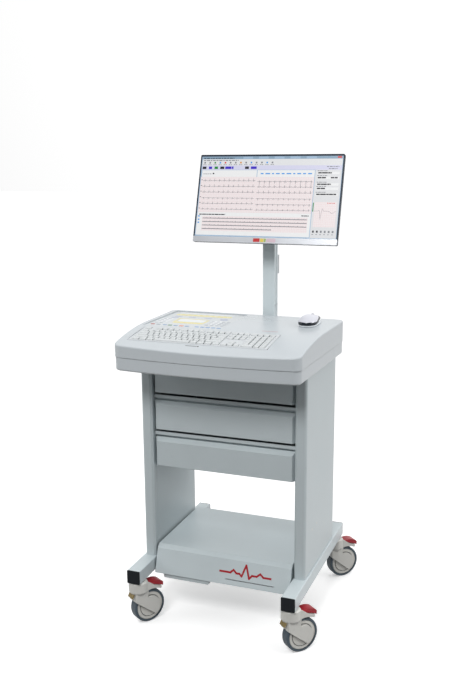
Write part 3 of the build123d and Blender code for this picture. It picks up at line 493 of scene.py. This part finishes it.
def make_studio():
    """Plain pale floor and large soft lights."""
    mesh = bpy.data.meshes.new("floor")
    corners = [(x * FLOOR_HALF, y * FLOOR_HALF, 0) for x, y in ((-1, -1), (1, -1), (1, 1), (-1, 1))]
    mesh.from_pydata(corners, [], [(0, 1, 2, 3)])
    floor = bpy.data.objects.new("floor", mesh)
    bpy.context.scene.collection.objects.link(floor)
    floor.visible_diffuse = False
    look, _, shader, _ = new_tree("floor")
    shader.inputs["Base Color"].default_value = (FLOOR_GREY, FLOOR_GREY, FLOOR_GREY, 1)
    shader.inputs["Roughness"].default_value = 0.7
    shader.inputs["Emission Color"].default_value = (1, 1, 1, 1)
    shader.inputs["Emission Strength"].default_value = FLOOR_GLOW
    mesh.materials.append(look)
    make_surroundings()
    for light in LIGHTS:
        area_light(*light)


# ---------------------------------------------------------------- keyboard
KEY_ROWS = range(1, 7)
KEY_RADIUS = 1.7 * MM
CAP_TALL = 3.7 * MM
CAP_REACH = 3.9 * MM  # how far below its top a CAD key is measured
CAP_TAPER = 1.2 * MM
CAP_LEAN = 0.3 * MM
CAP_ROUND = 0.8 * MM
CAP_TOP = ((1.5, 0.25), (1.9, 0.05), (2.4, 0.0), (4.2, 0.3))  # inset and drop, millimetres
KEY_CLEAR = 0.7 * MM
KEY_FIELD_DEPTH = 117.4 * MM
KEY_FIELD_EDGE = 6 * MM
FILLER_MIN = 1.2 * MM
FILLER_TALL = 3.8 * MM
FILLER_RADIUS = 0.3 * MM
FILLER_SOFT = 0.2 * MM
# painted shade: sizes of the dark strips in the gaps beside the keys
GAP_SHADE_HALF = 0.8 * MM
GAP_SHADE_FRONT = 4 * MM
GAP_SHADE_REAR = 1 * MM
GAP_SHADE_LIFT = 0.06 * MM
SLOT_WIDTH = 1.2 * MM
SLOT_GAP = 0.4 * MM
SLOT_HALF = 57 * MM
SLOT_LIFT = 0.1 * MM


def joint_axis(name):
    """Axis of one of the part's joints."""
    return Vector(next(j["axis"] for j in frame["joints"] if j["name"] == name))


def islands(node):
    """Separate solids of a CAD node as lists of points."""
    work = bmesh.new()
    work.from_mesh(NODES[node].data)
    bmesh.ops.remove_doubles(work, verts=work.verts, dist=1e-6)
    seen = set()
    groups = []
    for start in work.verts:
        if start in seen:
            continue
        stack = [start]
        seen.add(start)
        group = []
        while stack:
            vert = stack.pop()
            group.append(vert.co.copy())
            for edge in vert.link_edges:
                other = edge.other_vert(vert)
                if other not in seen:
                    seen.add(other)
                    stack.append(other)
        groups.append(group)
    work.free()
    return groups


def limits(points):
    """Least and greatest X and Y of points."""
    xs = [point.x for point in points]
    ys = [point.y for point in points]
    return min(xs), max(xs), min(ys), max(ys)


def keyboard_plane():
    """Keyboard's local frame, its inverse and half the width between the end slots."""
    low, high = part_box("keyboard_base")
    place = plane_matrix((low + high) / 2, (1, 0, 0), -joint_axis("key_row_1_press"))
    return place, place.inverted(), (high.x - low.x) / 2 - KEY_FIELD_EDGE


def keyboard_bed(back):
    """Height of the base plate's top in the keyboard's frame."""
    return max((back @ vert.co).z for vert in NODES["keyboard_base"].data.vertices)


def key_limits(row, back):
    """Limits of each key of a row in the keyboard's frame."""
    return [limits([back @ point for point in group]) for group in islands(f"key_row_{row}")]


def cap_rings(width, depth, tall):
    """Rings of one key cap: tapered sides, a rounded top edge and a dished top."""
    rings = []
    for share, level in ((0.0, 0.0), (0.65, tall * 0.55), (1.0, tall - CAP_ROUND)):
        inset = share * CAP_TAPER
        ring = rounded_outline(width - 2 * inset, depth - 2 * inset, KEY_RADIUS)
        rings.append([(x, y + share * CAP_LEAN, level) for x, y in ring])
    for inset, drop in CAP_TOP:
        inset *= MM
        ring = rounded_outline(width - 2 * inset, depth - 2 * inset, KEY_RADIUS * 0.9)
        rings.append([(x, y + CAP_LEAN, tall - drop * MM) for x, y in ring])
    return rings


def make_keys():
    """Moulded key caps with round corners and dished tops, one piece per row."""
    place, back, _ = keyboard_plane()
    for row in KEY_ROWS:
        node = f"key_row_{row}"
        stacks = []
        for group in islands(node):
            local = [back @ point for point in group]
            top = max(p.z for p in local)
            x0, x1, y0, y1 = limits([p for p in local if p.z > top - CAP_REACH])
            middle = ((x0 + x1) / 2, (y0 + y1) / 2, top - CAP_TALL)
            rings = cap_rings(x1 - x0, y1 - y0, CAP_TALL)
            stacks.append((rings, place @ Matrix.Translation(middle)))
        caps = make_stacks(f"{node}_caps", stacks, key_plastic, node, "key_plastic", smooth=True)
        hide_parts(node)


def make_patches(name, place, patches, level):
    """Flat rectangles of painted shade at one height in a local plane."""
    verts = []
    faces = []
    for x0, x1, y0, y1 in patches:
        start = len(verts)
        corners = ((x0, y0), (x1, y0), (x1, y1), (x0, y1))
        verts.extend(place @ Vector((x, y, level)) for x, y in corners)
        faces.append((start, start + 1, start + 2, start + 3))
    make_piece(name, mesh_from(name, verts, faces), key_shadow, "cart", "dark_plastic")


def add_filler(stacks, place, x0, x1, y0, y1, bed):
    """Raised block between keys or between a key and the rim, where there is room."""
    if x1 - x0 >= FILLER_MIN and y1 - y0 >= FILLER_MIN:
        rings = pad_rings(x1 - x0, y1 - y0, FILLER_TALL, FILLER_RADIUS, FILLER_SOFT)
        middle = ((x0 + x1) / 2, (y0 + y1) / 2, bed)
        stacks.append((rings, place @ Matrix.Translation(middle)))


def make_key_surround():
    """Light surround that fills the keyboard's recess wherever no key stands."""
    place, back, half = keyboard_plane()
    bed = keyboard_bed(back)
    side = half - SLOT_WIDTH - SLOT_GAP
    stacks = []
    limit = KEY_FIELD_DEPTH / 2
    for row in KEY_ROWS:
        keys = sorted(key_limits(row, back))
        y0 = min(key[2] for key in keys) - KEY_CLEAR
        y1 = max(key[3] for key in keys) + KEY_CLEAR
        add_filler(stacks, place, -side, side, y1, limit, bed)
        left = -side
        for x0, x1, _, _ in keys:
            add_filler(stacks, place, left, x0 - KEY_CLEAR, y0, y1, bed)
            left = x1 + KEY_CLEAR
        add_filler(stacks, place, left, side, y0, y1, bed)
        limit = y0
    add_filler(stacks, place, -side, side, -KEY_FIELD_DEPTH / 2, limit, bed)
    make_stacks("key_surround", stacks, keybed, "cart", "desk_plastic")


def make_key_gap_shade():
    """Painted shade: dark strips in the gaps beside the caps and in the slot at each end of the
    keyboard.
    """
    place, back, half = keyboard_plane()
    bed = keyboard_bed(back)
    gap_shades = [(x - GAP_SHADE_HALF, x + GAP_SHADE_HALF, y0 + GAP_SHADE_FRONT, y1 - GAP_SHADE_REAR)
             for row in KEY_ROWS for x0, x1, y0, y1 in key_limits(row, back) for x in (x0, x1)]
    make_patches("key_gap_shade", place, gap_shades, bed + GAP_SHADE_LIFT)
    slots = [(*sorted((side * half, side * (half - SLOT_WIDTH))), -SLOT_HALF, SLOT_HALF)
             for side in (-1, 1)]
    make_patches("keyboard_slot_shade", place, slots, bed + SLOT_LIFT)


# ---------------------------------------------------------------- control panel
def pads_at(spots, width, depth):
    """Pads of one size at several places."""
    return [(x, y, width, depth) for x, y in spots]


# name, colour, height, then pads as (x, y, width, depth), in millimetres on the cart
PANEL_PIECES = (
    ("panel_key_red", (0.42, 0.09, 0.07), 0.9, pads_at([(-236, -89)], 12.5, 9)),
    ("panel_key_blue", (0.25, 0.36, 0.52), 0.9,
     pads_at([(-197, -91), (-163, -92), (-128, -92)], 12.5, 9)),
    ("panel_key_green", (0.05, 0.22, 0.09), 0.9, pads_at([(-181, -91)], 12.5, 9)),
    ("panel_key_orange", (0.72, 0.20, 0.10), 0.9, pads_at([(-145, -92)], 12.5, 9)),
    ("panel_key_grey", (0.33, 0.38, 0.42), 0.9, pads_at([(-218, -90)], 12.5, 9)),
    ("panel_key_row", (0.22, 0.36, 0.58), 0.9,
     pads_at([(-97 + 16.6 * i, -92) for i in range(5)], 12.5, 9)),
    ("panel_yellow_print", (0.74, 0.66, 0.25), 0.25,
     [(-144, 76, 178, 22), (-146, -42, 96, 19), (-154, 15, 96, 5), (-194, -12, 5, 46),
      (-101, -12, 5, 46)]),
    ("panel_white_print", (0.74, 0.77, 0.79), 0.2,
     [(-148, -9, 82, 38), (-72, -20, 34, 60), (-230, -22, 34, 66), (-144, 104, 178, 18)]),
    ("panel_blue_print", (0.38, 0.42, 0.56), 0.25,
     pads_at([(-214, 44), (-170, 46), (-118, 44), (-66, 42), (-218, 26), (-60, 26)], 24, 9)),
    ("panel_small_keys", (0.78, 0.74, 0.48), 0.7,
     pads_at([(-222 + 19.5 * i, 76) for i in range(9)], 12, 11)),
    ("panel_grey_keys", (0.42, 0.45, 0.49), 0.7,
     pads_at([(x, y) for y in (-60, -40, -20, 0) for x in (-238, -223)], 10, 9)
     + pads_at([(x, y) for y in (-58, -40, -22, -4) for x in (-82, -66, -50, -34)], 10, 9)),
)
CART_TO_FRAME = Vector((-11.27, -4.12, 0)) * MM


def cart_point(x, y, z=0.0):
    """Point given in millimetres from the cart's centre line, in the frame."""
    return Vector((x, y, z)) * MM + CART_TO_FRAME


def standing_pad(node, x, y, sizes):
    """Rings and place of a pad on a node's top; sizes as for pad_rings, in millimetres."""
    spot, normal = first_hit(node, (*cart_point(x, y).xy, RAY_START), (0, 0, -1))
    rings = pad_rings(*(size * MM for size in sizes))
    return rings, plane_matrix(spot, (1, 0, 0), normal)


def make_control_panel():
    """Membrane keys and printed zones of the control panel."""
    for name, color, height, pads in PANEL_PIECES:
        stacks = []
        for x, y, width, depth in pads:
            sizes = (width, depth, height, min(width, depth) * 0.3, min(height * 0.8, 0.5))
            stacks.append(standing_pad("control_panel", x, y, sizes))
        look = surface(name, color, 0.35, grain=3000, bump=0.05)
        make_stacks(name, stacks, look, "cart", "membrane")


def make_desk_marks():
    """Indicator window and its lamp in front of the keyboard, and a mark at the desk's right."""
    window = standing_pad("desk_upper_shell", -44, -258, (32, 2.2, 0.25, 0.9, 0.15))
    lamp = standing_pad("desk_upper_shell", -24, -258, (4.2, 4.2, 0.6, 2.0, 0.4))
    make_stacks("keyboard_indicator", (window, lamp), shadow_gap, "cart", "dark_plastic")
    mark = standing_pad("desk_upper_shell", 123, -99, (46, 6, 0.15, 1, 0.1))
    look = surface("desk_mark", (0.50, 0.40, 0.42), 0.4, grain=2600, bump=0.05)
    make_stacks("desk_mark", (mark,), look, "cart", "desk_plastic")


# ---------------------------------------------------------------- mouse
MOUSE_STEPS = 64
MOUSE_LEVELS = 26
MOUSE_SQUARE = 0.86  # exponent below one, which squares the outline
MOUSE_WAIST = 0.05
MOUSE_EGG = 0.04  # how much the sides are drawn in
WALL_SHARE = 0.3  # levels below this share make the side wall
WALL_TUCK = 0.07
CROWN_FALL = 0.2
CROWN_PEAK = -0.3  # place of the highest point, in half lengths
BAND_LOW = 5.0  # the band's sizes are in millimetres
BAND_RISE = 12.0
BAND_TALL = 8.8
BAND_THINNING = 3.4
BUTTON_SPLIT = 0.10


def squared(value):
    """Sine or cosine pushed outwards, with its sign kept."""
    return math.copysign(abs(value) ** MOUSE_SQUARE, value)


class MouseShape:
    """Smooth mouse skin: angle runs round the outline, level from the foot to the crown."""

    def __init__(self):
        low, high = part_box("mouse_base")
        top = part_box("mouse_top")[1].z
        foot = ((low.x + high.x) / 2, (low.y + high.y) / 2, low.z + 0.6 * MM)
        self.place = plane_matrix(foot, (1, 0, 0), -joint_axis("mouse_button_press"))
        self.half_w = (high.x - low.x) / 2
        self.half_l = (high.y - low.y) / 2
        self.tall = top - low.z - 1.0 * MM

    def crown(self, y):
        """Height of the back line at a place along the mouse."""
        t = y / self.half_l
        return self.tall * (1 - CROWN_FALL * (t - CROWN_PEAK) ** 2)

    def point(self, angle, level):
        """Point of the skin; level is 0 at the foot, 1 at the top centre."""
        wall = 0.34 + 0.2 * max(0.0, math.sin(angle))
        if level < WALL_SHARE:
            swell = 1 - WALL_TUCK * (1 - math.sin(level / WALL_SHARE * math.pi / 2))
            rise = level / WALL_SHARE * wall
        else:
            t = (level - WALL_SHARE) / (1 - WALL_SHARE)
            swell = math.cos(t * math.pi / 2) ** 0.72
            rise = wall + (1 - wall) * math.sin(t * math.pi / 2)
        waist = 1 - MOUSE_WAIST * math.exp(-((math.sin(angle) * 2.2) ** 2))
        squeeze = 1 - MOUSE_EGG * math.cos(2 * angle)
        x = self.half_w * swell * waist * squeeze * squared(math.cos(angle))
        y = self.half_l * swell * squared(math.sin(angle))
        return Vector((x, y, rise * self.crown(y)))


def band_limits(half_l, y):
    """Heights of the dark band's lower and upper edge at a place along the mouse."""
    t = (y / half_l + 1) / 2
    sweep = min(max((t - 0.18) / 0.6, 0.0), 1.0)
    low = BAND_LOW + BAND_RISE * sweep * sweep * (3 - 2 * sweep)
    return low * MM, (low + BAND_TALL - BAND_THINNING * t) * MM


def mouse_part(shape, spot):
    """Name of the shell that a place on the skin belongs to."""
    low, high = band_limits(shape.half_l, spot.y)
    if spot.z < low:
        return "base"
    if spot.z < high:
        return "band"
    if spot.y < BUTTON_SPLIT * shape.half_l:
        return "back"
    return "left" if spot.x < 0 else "right"


def make_mouse():
    """White foot shell, dark band, silver back and two buttons, each its own shell."""
    shape = MouseShape()
    looks = {"base": (mouse_white, "mouse", "mouse_white"),
             "band": (mouse_band, "mouse", "mouse_white"),
             "back": (mouse_silver, "mouse", "mouse_silver"),
             "left": (mouse_silver, "mouse_buttons", "mouse_silver"),
             "right": (mouse_silver, "mouse_buttons", "mouse_silver")}
    groups = {key: ([], []) for key in looks}
    for i in range(MOUSE_STEPS):
        start, end = (2 * math.pi * (i + k) / MOUSE_STEPS for k in (0, 1))
        for level in range(MOUSE_LEVELS):
            low, high = ((level + k) / MOUSE_LEVELS for k in (0, 1))
            quad = [shape.point(start, low), shape.point(end, low),
                    shape.point(end, high), shape.point(start, high)]
            verts, faces = groups[mouse_part(shape, sum(quad, Vector()) / 4)]
            first = len(verts)
            verts.extend(quad)
            faces.append((first, first + 1, first + 2, first + 3))
    verts, faces = groups["base"]
    first = len(verts)
    verts.extend(shape.point(2 * math.pi * i / MOUSE_STEPS, 0) for i in range(MOUSE_STEPS))
    faces.append(tuple(range(first + MOUSE_STEPS - 1, first - 1, -1)))
    for key, (verts, faces) in groups.items():
        name = f"mouse_{key}_shell"
        mesh = mesh_from(name, verts, faces, shape.place)
        work = bmesh.new()
        work.from_mesh(mesh)
        bmesh.ops.remove_doubles(work, verts=work.verts, dist=0.02 * MM)
        bmesh.ops.recalc_face_normals(work, faces=work.faces)
        work.to_mesh(mesh)
        work.free()
        make_piece(name, mesh, *looks[key], smooth=True)
    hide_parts("mouse_base")
    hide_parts("mouse_top")
    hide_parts("mouse_buttons")


# ---------------------------------------------------------------- screen picture
def screen_frame():
    """Local frame on the display's front: X along its width, Y up it, Z out of it."""
    data = NODES["lcd_panel"].data
    fronts = [face for face in data.polygons if face.normal.y < -0.5 and face.normal.z > 0]
    normal = max(fronts, key=lambda face: face.area).normal.copy()
    depth = max(data.vertices[i].co.dot(normal) for face in fronts for i in face.vertices)
    low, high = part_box("lcd_panel")
    middle = (low + high) / 2
    origin = middle + normal * (depth - middle.dot(normal))
    return plane_matrix(origin, (1, 0, 0), normal)


SCREEN_W = 430.0
SCREEN_H = 239.0
SCREEN_RISE = 6.0
LAYER = 0.12
BAR_LENGTHS = (2.6, 4.2, 1.8, 3.4)  # of the bars that stand for words, in letter heights
TITLE_FOOT = 231  # heights and places of the zones, from the picture's lower left corner
TOOLS_FOOT = 212
STRIP_FOOT = 199
CHART_TOP = 178
CHART_FOOT = 72
SIDE_LEFT = 352
SCREEN_COLORS = {
    "frame": (0.42, 0.58, 0.76), "title": (0.30, 0.44, 0.58), "tools": (0.86, 0.87, 0.89),
    "strip": (0.76, 0.76, 0.95), "white": (0.96, 0.97, 0.98), "panel": (0.83, 0.84, 0.86),
    "ink": (0.03, 0.03, 0.04), "grey": (0.25, 0.26, 0.29), "blue": (0.06, 0.03, 0.60),
    "sky": (0.08, 0.36, 0.85), "green": (0.02, 0.28, 0.05), "red": (0.75, 0.05, 0.04),
    "orange": (0.80, 0.30, 0.03),
}


class Picture:
    """Flat coloured shapes on the display, in millimetres from its lower left corner."""

    def __init__(self):
        self.place = screen_frame() @ Matrix.Translation((0, SCREEN_RISE * MM, 0))
        self.looks = {key: glow_material(f"screen_{key}", color)
                      for key, color in SCREEN_COLORS.items()}
        self.looks["paper"] = grid_material("screen_paper", (0.99, 0.925, 0.93),
                                            (0.90, 0.62, 0.65), 1.04, 5.2, 0.2)
        self.shapes = {}

    def corner(self, x, y, layer):
        """Point of the picture in the frame."""
        spot = Vector((x - SCREEN_W / 2, y - SCREEN_H / 2, layer * LAYER))
        return self.place @ (spot * MM)

    def box(self, key, x0, y0, x1, y1, layer=1):
        """Filled rectangle."""
        verts, faces, maps = self.shapes.setdefault(key, ([], [], []))
        start = len(verts)
        for x, y in ((x0, y0), (x1, y0), (x1, y1), (x0, y1)):
            verts.append(self.corner(x, y, layer))
            maps.append((x, y))
        faces.append((start, start + 1, start + 2, start + 3))

    def line(self, key, points, width, layer=2):
        """Ribbon of constant width through points."""
        verts, faces, maps = self.shapes.setdefault(key, ([], [], []))
        start = len(verts)
        for i, (x, y) in enumerate(points):
            before = points[max(i - 1, 0)]
            after = points[min(i + 1, len(points) - 1)]
            run = Vector((after[0] - before[0], after[1] - before[1])).normalized()
            side = Vector((-run.y, run.x)) * width / 2
            for sign in (1, -1):
                verts.append(self.corner(x + sign * side.x, y + sign * side.y, layer))
                maps.append((x, y))
        for i in range(len(points) - 1):
            a = start + 2 * i
            faces.append((a, a + 1, a + 3, a + 2))

    def words(self, key, x, y, length, height, layer=2, gap=0.8):
        """Short bars that stand for a run of small writing."""
        cursor = x
        step = 0
        while cursor < x + length:
            share = BAR_LENGTHS[step % len(BAR_LENGTHS)]
            size = min(share * height, x + length - cursor)
            self.box(key, cursor, y, cursor + size, y + height, layer)
            cursor += size + gap * height
            step += 1

    def build(self):
        """One piece per colour."""
        for key, (verts, faces, maps) in self.shapes.items():
            mesh = mesh_from(f"screen_{key}", verts, faces)
            layer = mesh.uv_layers.new(name="UVMap")
            for loop in mesh.loops:
                layer.data[loop.index].uv = maps[loop.vertex_index]
            make_piece(f"screen_{key}", mesh, self.looks[key], "monitor", "screen")


# centre, height and width of each wave of a heartbeat, as shares of the beat and its peak
BEAT_WAVES = ((0.18, 0.10, 0.035), (0.36, -0.12, 0.012), (0.40, 1.0, 0.014),
              (0.44, -0.28, 0.014), (0.66, 0.24, 0.055))


def heart_beat(t, tall, flip=1.0):
    """Height of a heartbeat trace at a share of one beat."""
    return tall * sum(flip * size * math.exp(-(((t - at) / width) ** 2))
                      for at, size, width in BEAT_WAVES)


def trace(x0, x1, y, beat, tall, flip=1.0, step=0.35):
    """Points of a trace from X0 to X1."""
    count = int((x1 - x0) / step)
    xs = [x0 + (x1 - x0) * i / count for i in range(count + 1)]
    return [(x, y + heart_beat(((x - x0) / beat) % 1.0, tall, flip)) for x in xs]


def draw_bars(pic):
    """Window frame, title bar, row of tools and coloured status strip."""
    width, height = SCREEN_W, SCREEN_H
    pic.box("frame", 0, 0, width, height, 1)
    pic.box("tools", 2, TOOLS_FOOT, width - 2, TITLE_FOOT, 2)
    pic.box("title", 2, TITLE_FOOT, width - 2, height - 1, 2)
    for i in range(5):
        x = 130 + 48 * i
        pic.box("frame", x, TITLE_FOOT + 1, x + 30, height - 1, 3)
    pic.box("red", width - 17, TITLE_FOOT + 2, width - 5, height - 1, 3)
    pic.words("ink", 6, TITLE_FOOT + 1.8, 96, 2.4, 3)
    pic.words("grey", 6, TOOLS_FOOT + 14, 110, 2.6, 3)
    icons = ("grey", "grey", "green", "sky", "red", "grey", "grey", "orange", "grey", "sky",
             "grey", "grey", "sky", "grey")
    for i, key in enumerate(icons):
        x = 8 + 16.2 * i
        pic.box(key, x, TOOLS_FOOT + 6, x + 4.8, TOOLS_FOOT + 11, 3)
        pic.words("grey", x - 3, TOOLS_FOOT + 1.5, 10, 1.8, 3)
    pic.box("strip", 2, STRIP_FOOT, width - 2, TOOLS_FOOT, 2)
    for x, key, length in ((4, "ink", 12), (24, "blue", 10), (42, "green", 11), (60, "ink", 13),
                           (76, "blue", 26), (138, "ink", 12), (156, "blue", 18)):
        pic.words(key, x, STRIP_FOOT + 2.5, length, 7.5, 3, gap=0.18)
    pic.words("grey", width - 46, STRIP_FOOT + 8, 36, 2.2, 3)
    pic.words("grey", width - 40, STRIP_FOOT + 2, 26, 2.2, 3)


def draw_chart(pic):
    """Twelve traces on chart paper, in two columns, below a header."""
    pic.box("panel", SIDE_LEFT, 2, SCREEN_W - 2, STRIP_FOOT, 2)
    pic.box("white", 4, CHART_TOP, 176, STRIP_FOOT - 1, 2)
    pic.box("white", 178, CHART_TOP, SIDE_LEFT - 2, STRIP_FOOT - 1, 2)
    pic.words("sky", 188, CHART_TOP + 8, 154, 3.4, 3, gap=1.7)
    pic.box("ink", 38, CHART_TOP + 8, 43, CHART_TOP + 12, 3)
    pic.words("grey", 8, CHART_TOP + 8, 26, 1.8, 3)
    pic.box("paper", 2, CHART_FOOT, SIDE_LEFT - 2, CHART_TOP, 2)
    for row in range(6):
        y = 166 - 17 * row
        left_flip = -0.8 if row == 3 else 1.0
        right_flip = -left_flip if row in (0, 4) else left_flip
        left = trace(10, 174, y, 15.2, 8.5 - 0.5 * row, left_flip)
        right = trace(180, SIDE_LEFT - 6, y - 1, 15.6, 10.5 - row, right_flip)
        pic.line("grey", left, 0.9, 3)
        pic.line("grey", right, 0.9, 3)
        pic.words("ink", 4, y + 2, 5, 1.6, 3)


def draw_rhythm(pic):
    """Strip of four long traces under the chart."""
    pic.box("white", 2, 4, SIDE_LEFT - 2, CHART_FOOT, 2)
    pic.words("ink", 8, CHART_FOOT - 8, 82, 3.0, 3, gap=0.35)
    pic.words("ink", SIDE_LEFT - 30, CHART_FOOT - 8, 22, 2.6, 3, gap=0.35)
    pic.box("paper", 18, 16, SIDE_LEFT - 10, 61, 3)
    for row in range(4):
        end = SIDE_LEFT - 12 if row < 3 else 236
        pic.line("grey", trace(20, end, 54 - 10.5 * row, 5.4, 2.8, step=0.25), 2.0, 4)
    for y in (58, 48, 39):
        pic.box("sky", 5, y, 10, y + 4, 3)


def draw_side_panel(pic):
    """Fields with values, one enlarged beat and a row of buttons."""
    left = SIDE_LEFT + 6
    right = SCREEN_W - 8
    for row, y in enumerate((190, 176, 157, 145, 128)):
        pic.box("white", left, y - 4, right, y + 3, 3)
        pic.words("ink", left + 2, y - 2, 24 if row % 2 else 40, 4.0, 4, gap=0.25)
        pic.words("grey", left, y + 5, 30, 2.0, 3)
    pic.words("ink", right - 24, 174, 20, 4.0, 4, gap=0.25)
    pic.words("ink", right - 24, 126, 20, 4.0, 4, gap=0.25)
    pic.box("green", left - 5, 78, left - 2.4, 104, 3)
    pic.box("paper", left, 34, right, 106, 3)
    beat = [(left + 64 * t / 60, 80 - heart_beat(0.25 + 0.5 * t / 60, 26)) for t in range(61)]
    pic.line("grey", beat, 0.7, 4)
    pic.words("red", right - 28, 102, 24, 1.6, 4)
    for i in range(6):
        x = left + 11.4 * i
        pic.box("ink" if i < 2 else "grey", x, 18, x + 5, 24, 3)
        pic.words("grey", x - 1, 12, 6, 1.8, 3)


def make_screen():
    """Generic recording program on the display."""
    pic = Picture()
    draw_bars(pic)
    draw_chart(pic)
    draw_rhythm(pic)
    draw_side_panel(pic)
    pic.build()


# ---------------------------------------------------------------- monitor trim
BEZEL_FOOT = -130.5 * MM  # lower edge of the bezel below the display's middle
BAR_LIFT = 2.4 * MM
BAR_TALL = 0.5 * MM
LABEL_TALL = 10.5 * MM
# name, colour, place and width in millimetres
LABEL_PARTS = (
    ("label_red", (0.60, 0.03, 0.03), -20, 20), ("label_yellow", (0.80, 0.62, 0.10), -3, 11),
    ("label_green", (0.35, 0.48, 0.12), 6, 5), ("label_pale", (0.72, 0.55, 0.62), 24, 28),
)


def make_monitor_trim():
    """Silver lower bar and the coloured service label on it."""
    low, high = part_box("monitor_bezel")
    place = screen_frame()
    bar_top = (SCREEN_RISE - SCREEN_H / 2) * MM
    middle = (bar_top + BEZEL_FOOT) / 2
    rings = pad_rings(high.x - low.x, bar_top - BEZEL_FOOT, BAR_TALL, 2 * MM, 0.4 * MM)
    spot = place @ Matrix.Translation((0, middle, BAR_LIFT))
    make_stacks("bezel_lower_bar", ((rings, spot),), silver, "monitor", "bezel")
    for name, color, x, width in LABEL_PARTS:
        rings = pad_rings(width * MM, LABEL_TALL, 0.2 * MM, 1.2 * MM, 0.1 * MM)
        spot = place @ Matrix.Translation((x * MM, middle, BAR_LIFT + BAR_TALL))
        look = surface(name, color, 0.3, grain=1500, bump=0.02)
        make_stacks(name, ((rings, spot),), look, "monitor", "bezel")


# ---------------------------------------------------------------- base emblem
EMBLEM_LINE = ((-4, 169), (28, 169), (37, 177), (46, 169), (56, 169), (63, 163), (74, 194),
               (86, 160), (94, 169), (108, 169), (118, 177), (128, 169), (150, 169))
EMBLEM_HALF = 2.7
EMBLEM_OVERLAP = 0.8  # how far a stroke runs past its ends, in half widths
EMBLEM_LIFT = 0.25
EMBLEM_STEP = 0.02  # keeps strokes that overlap at a bend apart


def make_emblem():
    """Generic red heartbeat line on the front of the base housing."""
    verts = []
    faces = []
    for i, (first, last) in enumerate(zip(EMBLEM_LINE, EMBLEM_LINE[1:])):
        run = (Vector(last) - Vector(first)).normalized()
        side = Vector((-run.y, run.x)) * EMBLEM_HALF
        first = Vector(first) - run * EMBLEM_HALF * EMBLEM_OVERLAP
        last = Vector(last) + run * EMBLEM_HALF * EMBLEM_OVERLAP
        base = len(verts)
        lift = (EMBLEM_LIFT + EMBLEM_STEP * (i % 2)) * MM
        for corner in (first - side, last - side, last + side, first + side):
            spot = cart_point(corner.x, 0, corner.y)
            start = (spot.x, -RAY_START, spot.z)
            hit, normal = first_hit("housing_cover", start, (0, 1, 0))
            verts.append(hit + normal * lift)
        faces.append((base, base + 1, base + 2, base + 3))
    look = surface("emblem_red", (0.42, 0.02, 0.03), 0.3, grain=1500, bump=0.02)
    mesh = mesh_from("housing_emblem", verts, faces)
    make_piece("housing_emblem", mesh, look, "cart", "brake_red")


# ---------------------------------------------------------------- castor details
CASTOR_NAMES = ("fl", "fr", "rl", "rr")
RING_R = (31.4 * MM, 32.8 * MM)
RING_REACH = 4 * MM
RING_LIFT = 0.15 * MM
RING_STEPS = 72
PLATE_AT = Vector((-22.5, 0, 94)) * MM
PLATE_TILT = math.radians(-62)
PLATE_SIZES = (17 * MM, 26 * MM, 3 * MM, 2.5 * MM, 0.8 * MM)


def castor_frame(key):
    """Local frame of a castor: X along its trail, Z up, origin on the floor under its pivot."""
    swivel = next(j for j in frame["joints"] if j["name"] == f"castor_{key}_swivel")
    trail = joint_axis(f"castor_{key}_roll").cross(Vector((0, 0, 1)))
    origin = Vector((swivel["pos_m"][0], swivel["pos_m"][1], 0))
    return plane_matrix(origin, trail, (0, 0, 1))


def wheel_ring(place, wheel):
    """Points and faces of a thin circle of painted shade on both sides of a wheel, where its disc
    meets the rim.
    """
    back = place.inverted()
    points = [back @ vert.co for vert in NODES[wheel].data.vertices]
    hub_x = (min(p.x for p in points) + max(p.x for p in points)) / 2
    hub_z = (min(p.z for p in points) + max(p.z for p in points)) / 2
    inner, outer = RING_R[0] - RING_REACH, RING_R[1] + RING_REACH
    near = [p.y for p in points if inner < math.hypot(p.x - hub_x, p.z - hub_z) < outer]
    verts = []
    faces = []
    for side in (-1, 1):
        y = side * (max(side * near_y for near_y in near) + RING_LIFT)
        start = len(verts)
        for i in range(RING_STEPS):
            turn = 2 * math.pi * i / RING_STEPS
            for radius in RING_R:
                spot = (hub_x + radius * math.cos(turn), y, hub_z + radius * math.sin(turn))
                verts.append(place @ Vector(spot))
            a = start + 2 * i
            b = start + 2 * ((i + 1) % RING_STEPS)
            faces.append((a, a + 1, b + 1, b) if side < 0 else (a, b, b + 1, a + 1))
    return verts, faces


def make_castor_details():
    """Brass brake plate in front of each wheel and a ring of painted shade in the groove on its
    faces.
    """
    for key in CASTOR_NAMES:
        place = castor_frame(key)
        spot = place @ Matrix.Translation(PLATE_AT) @ Matrix.Rotation(PLATE_TILT, 4, "Y")
        make_stacks(f"castor_{key}_brake_plate", ((pad_rings(*PLATE_SIZES), spot),), brass,
                    f"castor_{key}", "castor_grey")
        name = f"castor_{key}_ring"
        mesh = mesh_from(name, *wheel_ring(place, f"castor_{key}_wheel"))
        make_piece(name, mesh, ring_shadow, f"wheel_{key}", "castor_disc")


# ---------------------------------------------------------------- put together
finish_cad_nodes()
make_keys()
make_key_surround()
make_key_gap_shade()
make_control_panel()
make_desk_marks()
make_mouse()
make_screen()
make_monitor_trim()
make_emblem()
make_castor_details()
make_camera()
make_studio()
